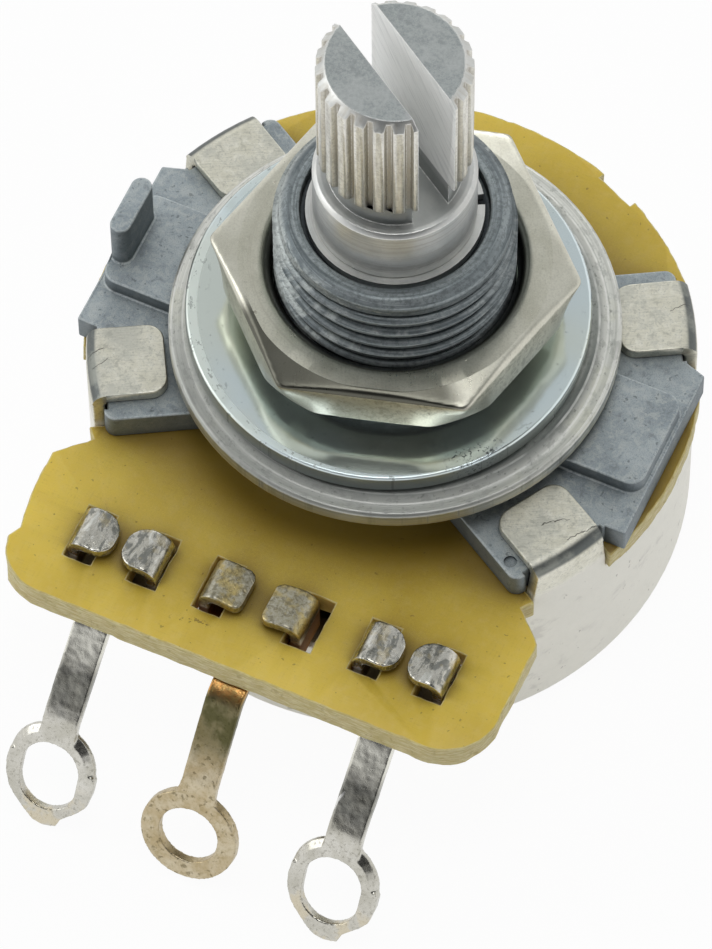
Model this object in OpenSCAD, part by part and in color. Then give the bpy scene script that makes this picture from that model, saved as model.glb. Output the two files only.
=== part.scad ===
// Rotary potentiometer with a threaded bushing and a slotted, splined shaft.
// Millimetres. The can's back face lies on z = 0, +Z runs up the shaft, and the
// three solder lugs hang from the contact board towards -Y.

/* [Can] */
// Outer radius of the can
can_r = 12.1; // [11.8:0.05:12.3]
// Sheet thickness of the can and its tabs
can_t = 0.5; // [0.35:0.05:0.6]
// Height of the can's wall, from its back face to the board
can_h = 7.85; // [7.6:0.05:10]
// Outer radius of the can's drawn back edge
can_edge_r = 1.0; // [0.7:0.05:1.5]
// Width of one folded tab
tab_w = 3.15; // [2.4:0.05:3.4]
// Widening of a tab's root on each side
tab_flare = 0.2; // [0:0.05:0.3]
// Outer radius of a tab's fold
tab_bend_r = 0.65; // [0.6:0.05:0.8]
// Gap between a folded tab's tip and the plate's round middle
tab_gap = 1.5; // [1.3:0.05:2.2]
// Corner radius at a tab's tip
tab_tip_r = 0.7; // [0.3:0.05:1.1]
// Angle between a tab and the X axis
tab_angle = 30; // [27:0.5:32]
// Depth of the wall's cut-away that clears the conductors at the front
front_cut_h = 1.3; // [1:0.05:1.8]
// Width of that cut-away
front_cut_w = 17; // [16.5:0.1:18.5]

// Sideways place of the can, board and plate about the shaft
body_x = -0.12; // [-0.2:0.01:0.2]
// Place of the can, board and plate along the lugs' direction
body_y = -0.1; // [-0.2:0.01:0.2]

/* [Contact board] */
// Thickness of the contact board
board_t = 1.0; // [0.8:0.05:1.6]
// Lip of the board's round part beyond the can
board_lip = 0.2; // [0.1:0.05:0.7]
// Width of the board's straight front part
board_w = 20.92; // [20.5:0.02:21.4]
// Reach of the board's front edge beyond the can
board_reach = 3.12; // [3:0.01:3.4]
// Radius of the board's front corners
board_corner_r = 2.2; // [1:0.1:2.4]
// Length of each slanted shoulder where the front part meets the can
board_shoulder = 1.3; // [0.8:0.1:1.6]
// Depth of the break-off marks at the board's rim
board_nib = 0.3; // [0.15:0.05:0.4]
// Thickness of the printed track and conductors
print_t = 0.1; // [0.05:0.01:0.15]
// Distance from the can's wall to the resistive track
track_margin = 2.0; // [1.7:0.05:2.3]
// Share of the room between collector ring and track edge that the track takes
track_share = 0.425; // [0.35:0.005:0.45]
// Angle that the resistive track leaves open at the front
track_gap = 66; // [60:1:76]
// Share of that room that the collector ring takes
ring_share = 0.3; // [0.2:0.01:0.35]
// Step from the rotor's hub out to the collector ring
ring_step = 0.4; // [0.2:0.05:0.6]

/* [Terminals] */
// Sheet thickness of the terminals
lug_t = 0.45; // [0.35:0.05:0.5]
// Distance between neighbouring terminals
lug_pitch = 6.13; // [6.0:0.01:6.3]
// Sideways place of the middle terminal
lug_x = -0.08; // [-0.2:0.01:0.2]
// Width of a lug where it leaves the board
lug_w = 1.5; // [1.3:0.02:1.7]
// Width of a lug at its eyelet
lug_w_tip = 1.48; // [1.2:0.02:1.6]
// Inner radius of the lugs' bends
lug_bend_r = 0.9; // [0.6:0.05:1.1]
// Distance from the board's front edge to the first bend of the outer lugs
lug_bend_in = 0.82; // [0.7:0.01:1.1]
// Slope of the outer lugs below the board
lug_slope = 42; // [38:1:46]
// Length of that sloping stretch
lug_run = 3.75; // [3.4:0.05:3.9]
// Slope of the outer eyelets
eye_slope = 61; // [54:1:62]
// Distance from the lower bend to an outer eyelet's centre
eye_run = 2.45; // [2.35:0.05:2.6]
// Distance from the board's front edge to the middle lug's first bend
mid_bend_in = 0.02; // [-0.1:0.01:0.2]
// Slope of the middle lug below the board
mid_slope = 50; // [46:1:54]
// Length of the middle lug's sloping stretch
mid_run = 3.35; // [3.1:0.05:3.5]
// Slope of the middle eyelet
mid_eye_slope = 64; // [60:1:66]
// Distance from the lower bend to the middle eyelet's centre
mid_eye_run = 2.36; // [2.3:0.02:2.5]
// Half width of an outer eyelet's oval hole
eye_hole_r = 1.2; // [1.0:0.01:1.3]
// Stretch of that hole along the lug, to each side of its middle
eye_hole_long = 0.35; // [0.2:0.01:0.4]
// Half width of the outer eyelets
eye_r = 1.82; // [1.7:0.01:1.95]
// Width of the coined bevel on the upper half of an outer eyelet
eye_bevel = 0.32; // [0.2:0.01:0.4]
// Radius of the middle eyelet's hole
mid_hole_r = 1.25; // [1.0:0.01:1.35]
// Outer radius of the middle eyelet
mid_eye_r = 2.03; // [1.9:0.01:2.1]
// Distance from the can's outside to the middle of the board's holes
hole_out = 0.1; // [0:0.05:0.3]
// Width of the board's holes
hole_w = 2.42; // [2.2:0.02:2.6]
// Length of each hole, along the row
hole_len = 1.2; // [1.1:0.02:1.3]
// Distance over the two holes of an outer terminal
hole_span = 3.95; // [3.7:0.05:4.2]
// Distance over the two holes of the middle terminal
hole_span_mid = 5.05; // [4.8:0.05:5.3]
// Distance over the two prongs of the middle terminal
prong_span_mid = 4.4; // [4.2:0.05:4.7]
// Sideways place of the middle terminal's foot in its holes
mid_foot_shift = -0.18; // [-0.2:0.01:0.1]
// Sideways place of the outer lugs and their eyelets against their feet
out_shift = 0.05; // [-0.1:0.01:0.1]
// Sideways place of the middle lug and its eyelet
mid_shift = 0.03; // [-0.2:0.01:0.1]
// Width of the clinched prongs
prong_w = 1.84; // [1.6:0.02:2.0]
// Length of a folded outer prong
prong_len = 1.78; // [1.3:0.02:1.84]
// Length of a folded middle prong
prong_len_mid = 1.8; // [1.5:0.02:1.9]
// Inner radius of a prong's fold
prong_fold_r = 0.25; // [0.15:0.01:0.3]
// Corner radius at an outer prong's tip
prong_tip_r = 0.77; // [0.3:0.01:0.78]
// Corner radius at a middle prong's tip
prong_tip_mid_r = 0.35; // [0.2:0.01:0.6]
// Thinning of the outer eyelets' pressed lower half
eye_thin = 0.04; // [0:0.01:0.1]
// Slope of the folded prongs down to the board
prong_slope = 11; // [8:1:18]

/* [Front plate] */
// Thickness of the plate under the tabs
plate_t = 1.3; // [1.1:0.05:2]
// Height of the raised pads above the tabs' seats
pad_h = 0.7; // [0.65:0.05:1]
// Step from the can's outside in to the wings' ends
wing_step = 0.25; // [0.1:0.01:0.4]
// Half width of a wing on the lugs' side
wing_front = 4.05; // [3.9:0.05:4.2]
// Half width of a wing on the far side
wing_back = 3.8; // [3.6:0.05:3.9]
// Half width of the arms under the tabs
arm_half_w = 2.38; // [2.3:0.01:2.55]
// Step from the can's outside in to the arms' ends
arm_step = 0.55; // [0.3:0.05:0.6]
// Radius of the arms' corners
arm_corner_r = 0.45; // [0.3:0.05:0.8]
// Radius of the ejector pin's mark on one arm
mark_r = 0.26; // [0.2:0.01:0.35]
// Depth of that mark
mark_depth = 0.12; // [0.05:0.01:0.3]
// Crown of the wings' far side
wing_crown = 0.35; // [0.2:0.05:0.6]
// Step from the plate's round middle in to the raised pad
pad_step = 0.3; // [0.1:0.05:0.6]
// Radius of the plate's round middle
hub_r = 7.45; // [7.2:0.05:7.6]
// Width of the raised pads
pad_w = 4.45; // [4.2:0.05:4.8]
// Step from a wing's end to its pad
pad_inset = 0.16; // [0.1:0.01:0.3]
// Radius of the pads' corners
pad_corner_r = 0.65; // [0.4:0.05:0.9]
// Shift of the pads towards the terminals
pad_shift = 0.1; // [0:0.05:0.3]
// Height of the locating lug above the pads
key_h = 2.3; // [1.8:0.05:2.8]
// Length of the locating lug
key_len = 2.75; // [2.4:0.05:3]
// Thickness of the locating lug
key_w = 0.86; // [0.7:0.02:0.96]
// Step from the wing's end in to the locating lug
key_step = 0; // [0:0.01:0.2]

/* [Bushing] */
// Outer radius of the bushing's thread
bushing_r = 4.73; // [4.7:0.01:4.8]
// Length of the bushing above the pads
bushing_len = 9.55; // [9.2:0.05:12]
// Chamfer at the bushing's mouth
bushing_chamfer = 0.53; // [0.3:0.01:0.6]
// Radius of the ring's seat in the bushing's mouth
mouth_r = 3.68; // [3.6:0.01:3.8]
// Depth of the ring's seat
mouth_depth = 0.55; // [0.45:0.05:0.8]
// Radius of the spigot that centres the board
spigot_r = 4.95; // [4.85:0.05:5.1]

/* [Washers and nut] */
// Outer radius of the lock washer
lock_r = 8.94; // [8.8:0.02:9.1]
// Width of the lock washer's plain ring, outside its teeth
lock_band = 2.04; // [1.8:0.02:2.2]
// Width of the thinner band at the lock washer's rim
lock_rim_w = 0.55; // [0.4:0.01:0.7]
// Height of the step between that band and the washer's inner part
lock_step_h = 0.2; // [0.1:0.01:0.25]
// Thickness of the lock washer's ring
lock_t = 0.85; // [0.7:0.05:0.9]
// Number of the lock washer's inner teeth
lock_teeth = 14; // [10:1:16]
// Width of one tooth
tooth_w = 1.7; // [1.5:0.05:1.8]
// Sheet thickness of one tooth
tooth_t = 0.6; // [0.5:0.05:0.7]
// Twist of the teeth out of the ring's plane
tooth_twist = 36; // [34:1:40]
// Outer radius of the flat washer
flat_r = 7.985; // [7.8:0.005:8.2]
// Thickness of the flat washer
flat_t = 0.9; // [0.7:0.05:1.1]
// Sideways play of the washers on the bushing
washer_play = 0.27; // [0.25:0.01:0.35]
// Metal between the bushing's thread and the nut's flats
nut_wall = 1.62; // [1.4:0.02:1.8]
// Height of the nut
nut_h = 2.0; // [1.8:0.05:2.4]
// Height of the nut above the flat washer, as it is screwed on
nut_lift = 1.5; // [0.3:0.05:3]
// Bevel along the nut's upper edges
nut_bevel = 0.36; // [0.2:0.02:0.5]
// Width of the nut's countersunk mouth around the thread
nut_mouth = 0.47; // [0.3:0.01:0.6]
// Angle of one of the nut's corners to the X axis
nut_angle = 16.4; // [0:0.1:60]

/* [Shaft] */
// Radius of the shaft's plain part
shaft_r = 3.175; // [3.1:0.005:3.2]
// Running clearance of the shaft in the bushing
shaft_gap = 0.03; // [0.02:0.005:0.05]
// Height of the plain collar above the bushing
collar_h = 2.8; // [2.2:0.05:6]
// Chamfer on the collar's upper edge
collar_chamfer = 0.16; // [0.1:0.01:0.25]
// Radius of the neck below the spline
neck_r = 2.6; // [2.45:0.01:2.65]
// Height of the neck
neck_h = 1.3; // [0.8:0.05:1.6]
// Radius over the spline's teeth
spline_r = 2.985; // [2.95:0.005:3.0]
// Radius at the spline's roots
spline_root_r = 2.74; // [2.7:0.005:2.76]
// Length of the spline
spline_len = 6.0; // [5:0.05:8]
// Number of teeth on the spline
spline_teeth = 24; // [24:12:36]
// Chamfer at the shaft's free end
end_chamfer = 0.36; // [0.25:0.01:0.4]
// Width of the slot through the spline
shaft_slot = 1.6; // [1.0:0.05:1.8]
// Turn of the shaft as it lies, with 0 at the middle of its travel
shaft_turn = -32.5; // [-147.5:5:147.5]
// Outer radius of the retaining ring
clip_r = 3.46; // [3.4:0.01:3.5]
// Radius of the shaft's groove that holds the ring
groove_r = 2.9; // [2.8:0.01:2.95]
// Thickness of the retaining ring
clip_t = 0.38; // [0.3:0.01:0.4]
// Angle that the ring's gap spans
clip_gap = 8; // [5:1:20]

/* [Rotor] */
// Room between the can's pressed stop and the rotor's disc
rotor_room = 0.65; // [0.5:0.05:0.85]
// Thickness of the rotor's disc
rotor_t = 1.5; // [1.2:0.05:1.6]
// Radius of the rotor's hub
rotor_hub_r = 5.2; // [5.1:0.05:5.3]
// Distance from the disc's face to the board
rotor_drop = 1.5; // [1.4:0.05:1.6]
// Distance from the hub's end to the board
hub_drop = 0.95; // [0.9:0.01:1]
// Outer radius of the thrust washer and the spring washer
thrust_r = 4.5; // [4.2:0.05:4.55]
// Thickness of the thrust washer
thrust_t = 0.3; // [0.25:0.01:0.35]
// Sheet thickness of the bowed spring washer
spring_t = 0.15; // [0.1:0.01:0.2]
// Radius of the tang that drives the rotor
tang_r = 2.5; // [2.3:0.05:2.7]
// Width across the tang's flats
tang_af = 3.6; // [3.2:0.05:4]
// Total turn of the shaft between its stops
travel = 300; // [270:1:310]
// Play between the rotor's stop and the can's stop at each end
stop_play = 0.25; // [0.1:0.05:0.5]
// Angle that the can's pressed stop spans
stop_angle = 26; // [24:1:30]
// Depth of the can's pressed stop
stop_depth = 1.95; // [1.9:0.01:2.05]
// Sheet thickness of the wiper
wiper_t = 0.2; // [0.15:0.01:0.25]
// Width of one wiper finger
finger_w = 0.28; // [0.22:0.01:0.32]
// Gap between neighbouring wiper fingers
finger_gap = 0.08; // [0.06:0.01:0.12]

/* [Hidden] */

// Small distance by which cutters run past what they cut
cut = 0.5;
// Clearance of a part that is dropped into its place
slip = 0.05;

// Heights of the stack, from the can's back face up
z_board = can_h;
z_plate = z_board + board_t;
z_seat = z_plate + plate_t;
z_pad = z_seat + pad_h;
// Height of a twisted tooth, which sets the washers' spacing
tooth_rise = tooth_w * sin(tooth_twist) + tooth_t * cos(tooth_twist);
z_tooth = z_pad + tooth_rise / 2;
z_flat = z_pad + tooth_rise;
z_nut = z_flat + flat_t + nut_lift;
z_mouth = z_pad + bushing_len;
z_collar = z_mouth + collar_h;
z_spline = z_collar + neck_h;
z_top = z_spline + spline_len;
z_print = z_board - print_t;
z_disc = z_board - rotor_drop;
z_hub = z_board - hub_drop;

// Sizes that follow the can
tab_len = can_r - hub_r - tab_gap;
board_r = can_r + board_lip;
board_front = can_r + board_reach;
hole_y = can_r + hole_out;
lug_bend_y = board_front - lug_bend_in;
mid_bend_y = board_front - mid_bend_in;
track_r2 = can_r - can_t - track_margin;
ring_r1 = rotor_hub_r + ring_step;
ring_r2 = ring_r1 + (track_r2 - ring_r1) * ring_share;
track_r1 = track_r2 - (track_r2 - ring_r1) * track_share;
wing_x = can_r - wing_step;
arm_r = can_r - arm_step;
key_x = wing_x - key_step - key_w / 2;
rotor_r = can_r - stop_depth - rotor_room;
lock_root_r = lock_r - lock_band;
// Sizes that follow the bushing's thread
nut_af = 2 * (bushing_r + nut_wall);
nut_mouth_r = bushing_r + nut_mouth;

TABS = [tab_angle, 180 - tab_angle, 180 + tab_angle, 360 - tab_angle];
LUGS = [lug_x - lug_pitch, lug_x, lug_x + lug_pitch];

$fn = 96;

// Rectangle with round corners, centred on its width, from y0 to y1
module round_slab(w, y0, y1, r) {
    translate([-w / 2 + r, y0]) square([w - 2 * r, y1 - y0]);
    translate([-w / 2, y0 + r]) square([w, y1 - y0 - 2 * r]);
    for (x = [-w / 2 + r, w / 2 - r], y = [y0 + r, y1 - r])
        translate([x, y]) circle(r);
}

// Flat ring
module disc_ring(r_out, r_in, h) {
    difference() {
        cylinder(r = r_out, h = h);
        translate([0, 0, -cut]) cylinder(r = r_in, h = h + 2 * cut);
    }
}

// Part of a flat ring, from angle a0 to angle a1
module ring_sector(r_in, r_out, a0, a1, h) {
    rotate([0, 0, a0]) rotate_extrude(angle = a1 - a0)
        translate([r_in, 0]) square([r_out - r_in, h]);
}

// Points of an arc about c, from angle a0 to angle a1
function arc(c, r, a0, a1, n = 8) =
    [for (i = [0:n]) let (a = a0 + (a1 - a0) * i / n) c + r * [cos(a), sin(a)]];

// Plan of one tab, pointing along +X, grown by g on every side
module tab_plan(g = 0) {
    tip = can_r - tab_len - g;
    r = tab_tip_r;
    half = tab_w / 2 + g;
    root = half + tab_flare;
    translate([tip + r, -half]) square([tab_len + g - r, 2 * half]);
    translate([can_r - tab_bend_r - g, -root]) square([tab_bend_r + 1, 2 * root]);
    translate([tip, -half + r]) square([r + slip, 2 * half - 2 * r]);
    for (s = [-1, 1]) translate([tip + r, s * (half - r)]) circle(r);
}

// Front view of a tab's riser, which widens towards its root
module tab_front() {
    half = tab_w / 2;
    polygon([[-half - tab_flare, can_h - 1], [half + tab_flare, can_h - 1],
             [half + tab_flare, z_board + board_t / 2], [half, z_seat],
             [half, z_seat + 2], [-half, z_seat + 2], [-half, z_seat],
             [-half - tab_flare, z_board + board_t / 2]]);
}

// Wall section of the drawn cup: back, rounded edge and side
module cup_section() {
    square([can_r - can_edge_r, can_t]);
    translate([can_r - can_t, can_edge_r]) square([can_t, can_h - can_edge_r]);
    intersection() {
        translate([can_r - can_edge_r, can_edge_r]) difference() {
            circle(can_edge_r);
            circle(can_edge_r - can_t);
        }
        translate([can_r - can_edge_r, 0]) square([can_edge_r, can_edge_r]);
    }
}

// Section of a tab: it rises past the board and folds over the plate's seat
module tab_section() {
    bend = tab_bend_r;
    top = z_seat + can_t;
    translate([can_r - can_t, can_h - slip]) square([can_t, top - bend - can_h + slip]);
    translate([can_r - tab_len - cut, z_seat]) square([tab_len + cut - bend, can_t]);
    intersection() {
        translate([can_r - bend, top - bend]) difference() {
            circle(bend);
            circle(bend - can_t);
        }
        translate([can_r - bend, top - bend]) square([bend, bend]);
    }
}

// Pocket pressed into the wall at the front, which stops the rotor
module stop_pocket(inset) {
    r0 = can_r - stop_depth + inset;
    swing = stop_angle / 2 - inset / can_r * 57.3;
    r1 = inset > 0 ? can_r + cut : can_r - can_t / 2;
    translate([0, 0, stop_z0 + inset])
        ring_sector(r0, r1, -90 - swing, -90 + swing, stop_z1 - stop_z0 - 2 * inset);
}
stop_z0 = can_edge_r + 1.2;
stop_z1 = can_h - front_cut_h - 1.1;

module can() color([0.88, 0.87, 0.82]) {
    difference() {
        union() {
            translate([body_x, body_y, 0]) rotate_extrude() cup_section();
            stop_pocket(0);
        }
        stop_pocket(can_t);
        translate([body_x - front_cut_w / 2, -can_r - cut, can_h - front_cut_h])
            cube([front_cut_w, can_r, front_cut_h + cut]);
    }
    translate([body_x, body_y, 0]) for (a = TABS) rotate([0, 0, a]) intersection() {
        rotate([0, 0, -45]) rotate_extrude(angle = 90) tab_section();
        linear_extrude(z_seat + 2) tab_plan();
        rotate([90, 0, 90]) linear_extrude(can_r + 1) tab_front();
    }
}

// Cut-outs that let the tabs pass the board and the plate
module tab_notches() {
    half = tab_w / 2 + tab_flare + slip;
    depth = sqrt(pow(can_r - can_t, 2) - half * half) - slip;
    for (a = TABS) rotate([0, 0, a]) translate([depth, -half]) square([2, 2 * half]);
}

// Outline of the contact board before its holes are cut
module board_outline() {
    half = board_w / 2;
    r = board_corner_r;
    // Height at which the front part's shoulders run into the can
    step_y = sqrt(can_r * can_r - pow(half - board_shoulder, 2)) + 0.1;
    difference() {
        union() {
            circle(board_r);
            polygon([[-half, -board_front + r], [half, -board_front + r],
                     [half, -step_y - board_shoulder], [half - board_shoulder, -step_y],
                     [-half + board_shoulder, -step_y], [-half, -step_y - board_shoulder]]);
            translate([-half + r, -board_front]) square([board_w - 2 * r, 2 * r]);
            for (s = [-1, 1]) translate([s * (half - r), -board_front + r]) circle(r);
        }
        tab_notches();
        // Break-off marks: one flat at the back, one step at the left edge
        rotate([0, 0, 66]) translate([board_r - board_nib, -0.9]) square([2, 1.8]);
        polygon([[-half - cut, -hole_y - 1.3], [-half, -hole_y - 1.3],
                 [-half + board_nib, -hole_y - 0.7], [-half, -hole_y + 1.3],
                 [-half - cut, -hole_y + 1.3]]);
    }
}

// The two holes that take one terminal's prongs
module prong_holes(x, span) {
    for (s = [-1, 1]) translate([x + s * (span - hole_len) / 2, -hole_y])
        square([hole_len, hole_w], center = true);
}

module contact_board() color([0.80, 0.70, 0.30]) translate([0, 0, z_board])
    linear_extrude(board_t) difference() {
        translate([body_x, body_y]) board_outline();
        circle(spigot_r + slip);
        for (i = [0:2]) prong_holes(LUGS[i], i == 1 ? hole_span_mid : hole_span);
    }

track_a0 = -90 + track_gap / 2;
track_a1 = 270 - track_gap / 2;
// Half width of the lead between the collector ring and its terminal
lead_half_w = 1.3;
foot_y0 = -hole_y - 0.05 - prong_w / 2;
foot_y1 = foot_y0 + prong_w;

module resistive_track() color([0.12, 0.12, 0.12]) translate([0, 0, z_print])
    ring_sector(track_r1, track_r2, track_a0, track_a1, print_t);

// Silvered end of the track with its lead to the terminal at x, on the right
module end_contact(x) {
    // Angle that the silver reaches under the track's end
    lap = 12;
    half = hole_span / 2 - hole_len - slip;
    translate([0, 0, z_print]) linear_extrude(print_t) {
        difference() {
            intersection() {
                circle(track_r2);
                polygon([[0, 0], 14 * [cos(track_a0 - lap), sin(track_a0 - lap)],
                         14 * [cos(track_a0), sin(track_a0)]]);
            }
            circle(track_r1);
        }
        polygon([[x - half, foot_y0], [x + half, foot_y0], [x + half, foot_y1],
                 track_r2 * 0.99 * [cos(track_a0), sin(track_a0)],
                 track_r1 * 1.02 * [cos(track_a0 - 1), sin(track_a0 - 1)],
                 track_r1 * 1.02 * [cos(track_a0 - lap), sin(track_a0 - lap)],
                 track_r2 * 0.99 * [cos(track_a0 - lap), sin(track_a0 - lap)],
                 [x - half, foot_y1]]);
    }
}
module end_contact_left() color([0.75, 0.76, 0.76]) mirror([1, 0, 0]) end_contact(-LUGS[0]);
module end_contact_right() color([0.75, 0.76, 0.76]) end_contact(LUGS[2]);

module collector_ring() color([0.75, 0.76, 0.76]) translate([0, 0, z_print])
    linear_extrude(print_t) difference() {
        union() {
            circle(ring_r2);
            translate([LUGS[1] - lead_half_w, foot_y0])
                square([2 * lead_half_w, -foot_y0 - ring_r1 - 0.2]);
        }
        circle(ring_r1);
    }

// Key points of a lug's side view, [y, z] with y forwards: the centres of its two
// bends and the middle of its eyelet's upper face
function lug_path(bend_y, s1, run, s2, eye) =
    let (r = lug_bend_r + lug_t,
         c1 = [bend_y, z_print - r],
         p2 = c1 + r * [sin(s1), cos(s1)] + run * [cos(s1), -sin(s1)],
         c2 = p2 - r * [sin(s1), cos(s1)],
         end = c2 + r * [sin(s2), cos(s2)] + eye * [cos(s2), -sin(s2)])
    [c1, c2, end];

OUTER_PATH = lug_path(lug_bend_y, lug_slope, lug_run, eye_slope, eye_run);
MID_PATH = lug_path(mid_bend_y, mid_slope, mid_run, mid_eye_slope, mid_eye_run);

// Side view of a lug: foot, first bend, slope and lower bend
module lug_profile(path, s1, s2) {
    r = lug_bend_r;
    t = lug_t;
    polygon(concat(
        [[-foot_y1, z_print]],
        arc(path[0], r + t, 90, 90 - s1),
        arc(path[1], r + t, 90 - s1, 90 - s2),
        [path[2], path[2] - t * [sin(s2), cos(s2)]],
        arc(path[1], r, 90 - s2, 90 - s1),
        arc(path[0], r, 90 - s1, 90),
        [[-foot_y1, z_print - t]]));
}

// Side view of a clinched prong, [x, z], rising at x = 0 and folding towards -x
module prong_profile(len) {
    r = prong_fold_r;
    t = lug_t;
    lift = len * sin(prong_slope);
    c = [-t - r, z_plate + lift - r];
    turn = 90 + prong_slope;
    e = c + (r + t) * [cos(turn), sin(turn)];
    run = (len - t - r) * [-cos(prong_slope), -sin(prong_slope)];
    polygon(concat([[0, z_print - t]], arc(c, r + t, 0, turn),
        [e + run, e + run + t * [sin(prong_slope), -cos(prong_slope)]],
        arc(c, r, turn, 0), [[-t, z_print - t]]));
}

// Plan of a folded prong, from its riser at x = 0 to its rounded tip
module prong_plan(len, tip_r) {
    tip = -len * cos(prong_slope);
    half = prong_w / 2;
    translate([tip + tip_r, -half]) square([-tip - tip_r + cut, prong_w]);
    translate([tip, -half + tip_r]) square([tip_r + slip, prong_w - 2 * tip_r]);
    for (s = [-1, 1]) translate([tip + tip_r, s * (half - tip_r)]) circle(tip_r);
}

// Foot under the board with its two clinched prongs
module terminal_foot(x, span, len, tip_r) {
    half = span / 2;
    translate([x - half, foot_y0, z_print - lug_t]) cube([span, prong_w, lug_t]);
    for (s = [-1, 1]) translate([x + s * half, foot_y0 + prong_w / 2, 0]) intersection() {
        mirror([s < 0 ? 1 : 0, 0, 0]) translate([0, prong_w / 2, 0])
            rotate([90, 0, 0]) linear_extrude(prong_w) prong_profile(len);
        rotate([0, 0, s < 0 ? 180 : 0]) linear_extrude(z_plate + 3) prong_plan(len, tip_r);
    }
}

// Bent strip from the foot down to the eyelet's middle; flare widens its lower end
module terminal_stem(x, foot_x, span, path, s1, s2, flare) {
    half = span / 2;
    w = lug_w / 2;
    tip = lug_w_tip / 2;
    y_end = -path[2][0];
    y_ring = y_end + mid_eye_r * cos(s2);
    intersection() {
        rotate([90, 0, -90]) translate([0, 0, -x - 4]) linear_extrude(8)
            lug_profile(path, s1, s2);
        linear_extrude(z_board) polygon([
            [foot_x - half, foot_y1], [foot_x + half, foot_y1],
            [foot_x + half, foot_y0 + 0.3], [x + w, -lug_bend_y], [x + tip, y_ring + 0.25],
            [x + tip + flare, y_ring - 0.12], [x + tip, y_end], [x - tip, y_end],
            [x - tip - flare, y_ring - 0.12], [x - tip, y_ring + 0.25], [x - w, -lug_bend_y],
            [foot_x - half, foot_y0 + 0.3]]);
    }
}

// Frame of an eyelet: origin in its lower face, +Y up the slope, +Z out of the face
module at_eyelet(x, path, s2)
    translate([x, -path[2][0], path[2][1]]) rotate([s2, 0, 0])
        translate([0, 0, -lug_t]) children();

// Worn, ragged rim of an outer eyelet's lower half, for a half width of 1.8
RIM = [[-1.8, 0.65], [-1.84, 0], [-1.76, -0.55], [-1.52, -1.12], [-1.22, -1.47],
       [-0.8, -1.87], [-0.35, -2.22], [0.16, -2.33], [0.7, -2.19], [0.83, -1.8],
       [1.45, -1.2], [1.74, -0.82], [1.88, -0.06], [1.88, 0.48], [1.78, 0.65]];

module outer_eyelet() {
    rise = eye_r * 0.275;
    // Upper half with its coined bevel
    intersection() {
        translate([0, rise, 0]) rotate_extrude() polygon([
            [0, 0], [eye_r, 0], [eye_r, lug_t * 0.45], [eye_r - eye_bevel, lug_t], [0, lug_t]]);
        translate([-eye_r - cut, RIM[0][1] * eye_r / 1.8, -cut])
            cube([2 * eye_r + 2 * cut, 2 * eye_r, lug_t + 2 * cut]);
    }
    // Lower half, pressed a little thinner
    linear_extrude(lug_t - eye_thin) polygon(RIM * eye_r / 1.8);
}

module outer_eye_hole() translate([0, 0, -cut]) {
    for (s = [-1, 1]) translate([0, s * eye_hole_long, 0])
        cylinder(r = eye_hole_r, h = lug_t + 2 * cut);
    translate([-eye_hole_r, -eye_hole_long, 0])
        cube([2 * eye_hole_r, 2 * eye_hole_long, lug_t + 2 * cut]);
}

module outer_terminal(foot_x) {
    x = foot_x + out_shift;
    span = hole_span - 2 * slip;
    difference() {
        union() {
            terminal_foot(foot_x, span, prong_len, prong_tip_r);
            terminal_stem(x, foot_x, span, OUTER_PATH, lug_slope, eye_slope, 0);
            at_eyelet(x, OUTER_PATH, eye_slope) outer_eyelet();
        }
        at_eyelet(x, OUTER_PATH, eye_slope) outer_eye_hole();
    }
}
module terminal_left() color([0.78, 0.79, 0.78]) outer_terminal(LUGS[0]);
module terminal_right() color([0.78, 0.79, 0.78]) outer_terminal(LUGS[2]);

module terminal_middle() color([0.66, 0.60, 0.45]) {
    x = LUGS[1] + mid_shift;
    foot_x = LUGS[1] + mid_foot_shift;
    difference() {
        union() {
            terminal_foot(foot_x, prong_span_mid, prong_len_mid, prong_tip_mid_r);
            terminal_stem(x, foot_x, prong_span_mid, MID_PATH, mid_slope, mid_eye_slope, 0.12);
            at_eyelet(x, MID_PATH, mid_eye_slope) cylinder(r = mid_eye_r, h = lug_t);
        }
        at_eyelet(x, MID_PATH, mid_eye_slope) translate([0, 0, -cut])
            cylinder(r = mid_hole_r, h = lug_t + 2 * cut);
    }
}

// Plan of the cast plate: round middle, two wings and an arm under each tab
module plate_outline() {
    r = arm_corner_r;
    // Length of the slope up to the wings' crown
    run = 1.1;
    circle(hub_r);
    difference() {
        union() {
            polygon([[-wing_x, -wing_front], [wing_x, -wing_front], [wing_x, wing_back],
                     [wing_x - run, wing_back + wing_crown],
                     [-wing_x + run, wing_back + wing_crown],
                     [-wing_x, wing_back]]);
            for (a = TABS) rotate([0, 0, a]) {
                translate([0, -arm_half_w]) square([arm_r - r, 2 * arm_half_w]);
                translate([0, -arm_half_w + r]) square([arm_r, 2 * arm_half_w - 2 * r]);
                for (s = [-1, 1]) translate([arm_r - r, s * (arm_half_w - r)]) circle(r);
            }
        }
        tab_notches();
    }
}

// Plan of the raised faces that carry the washers and the locating lug
module pad_outline() {
    circle(hub_r - pad_step);
    translate([0, -pad_shift]) rotate([0, 0, 90])
        round_slab(pad_w, -wing_x + pad_inset, wing_x - pad_inset, pad_corner_r);
}

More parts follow.
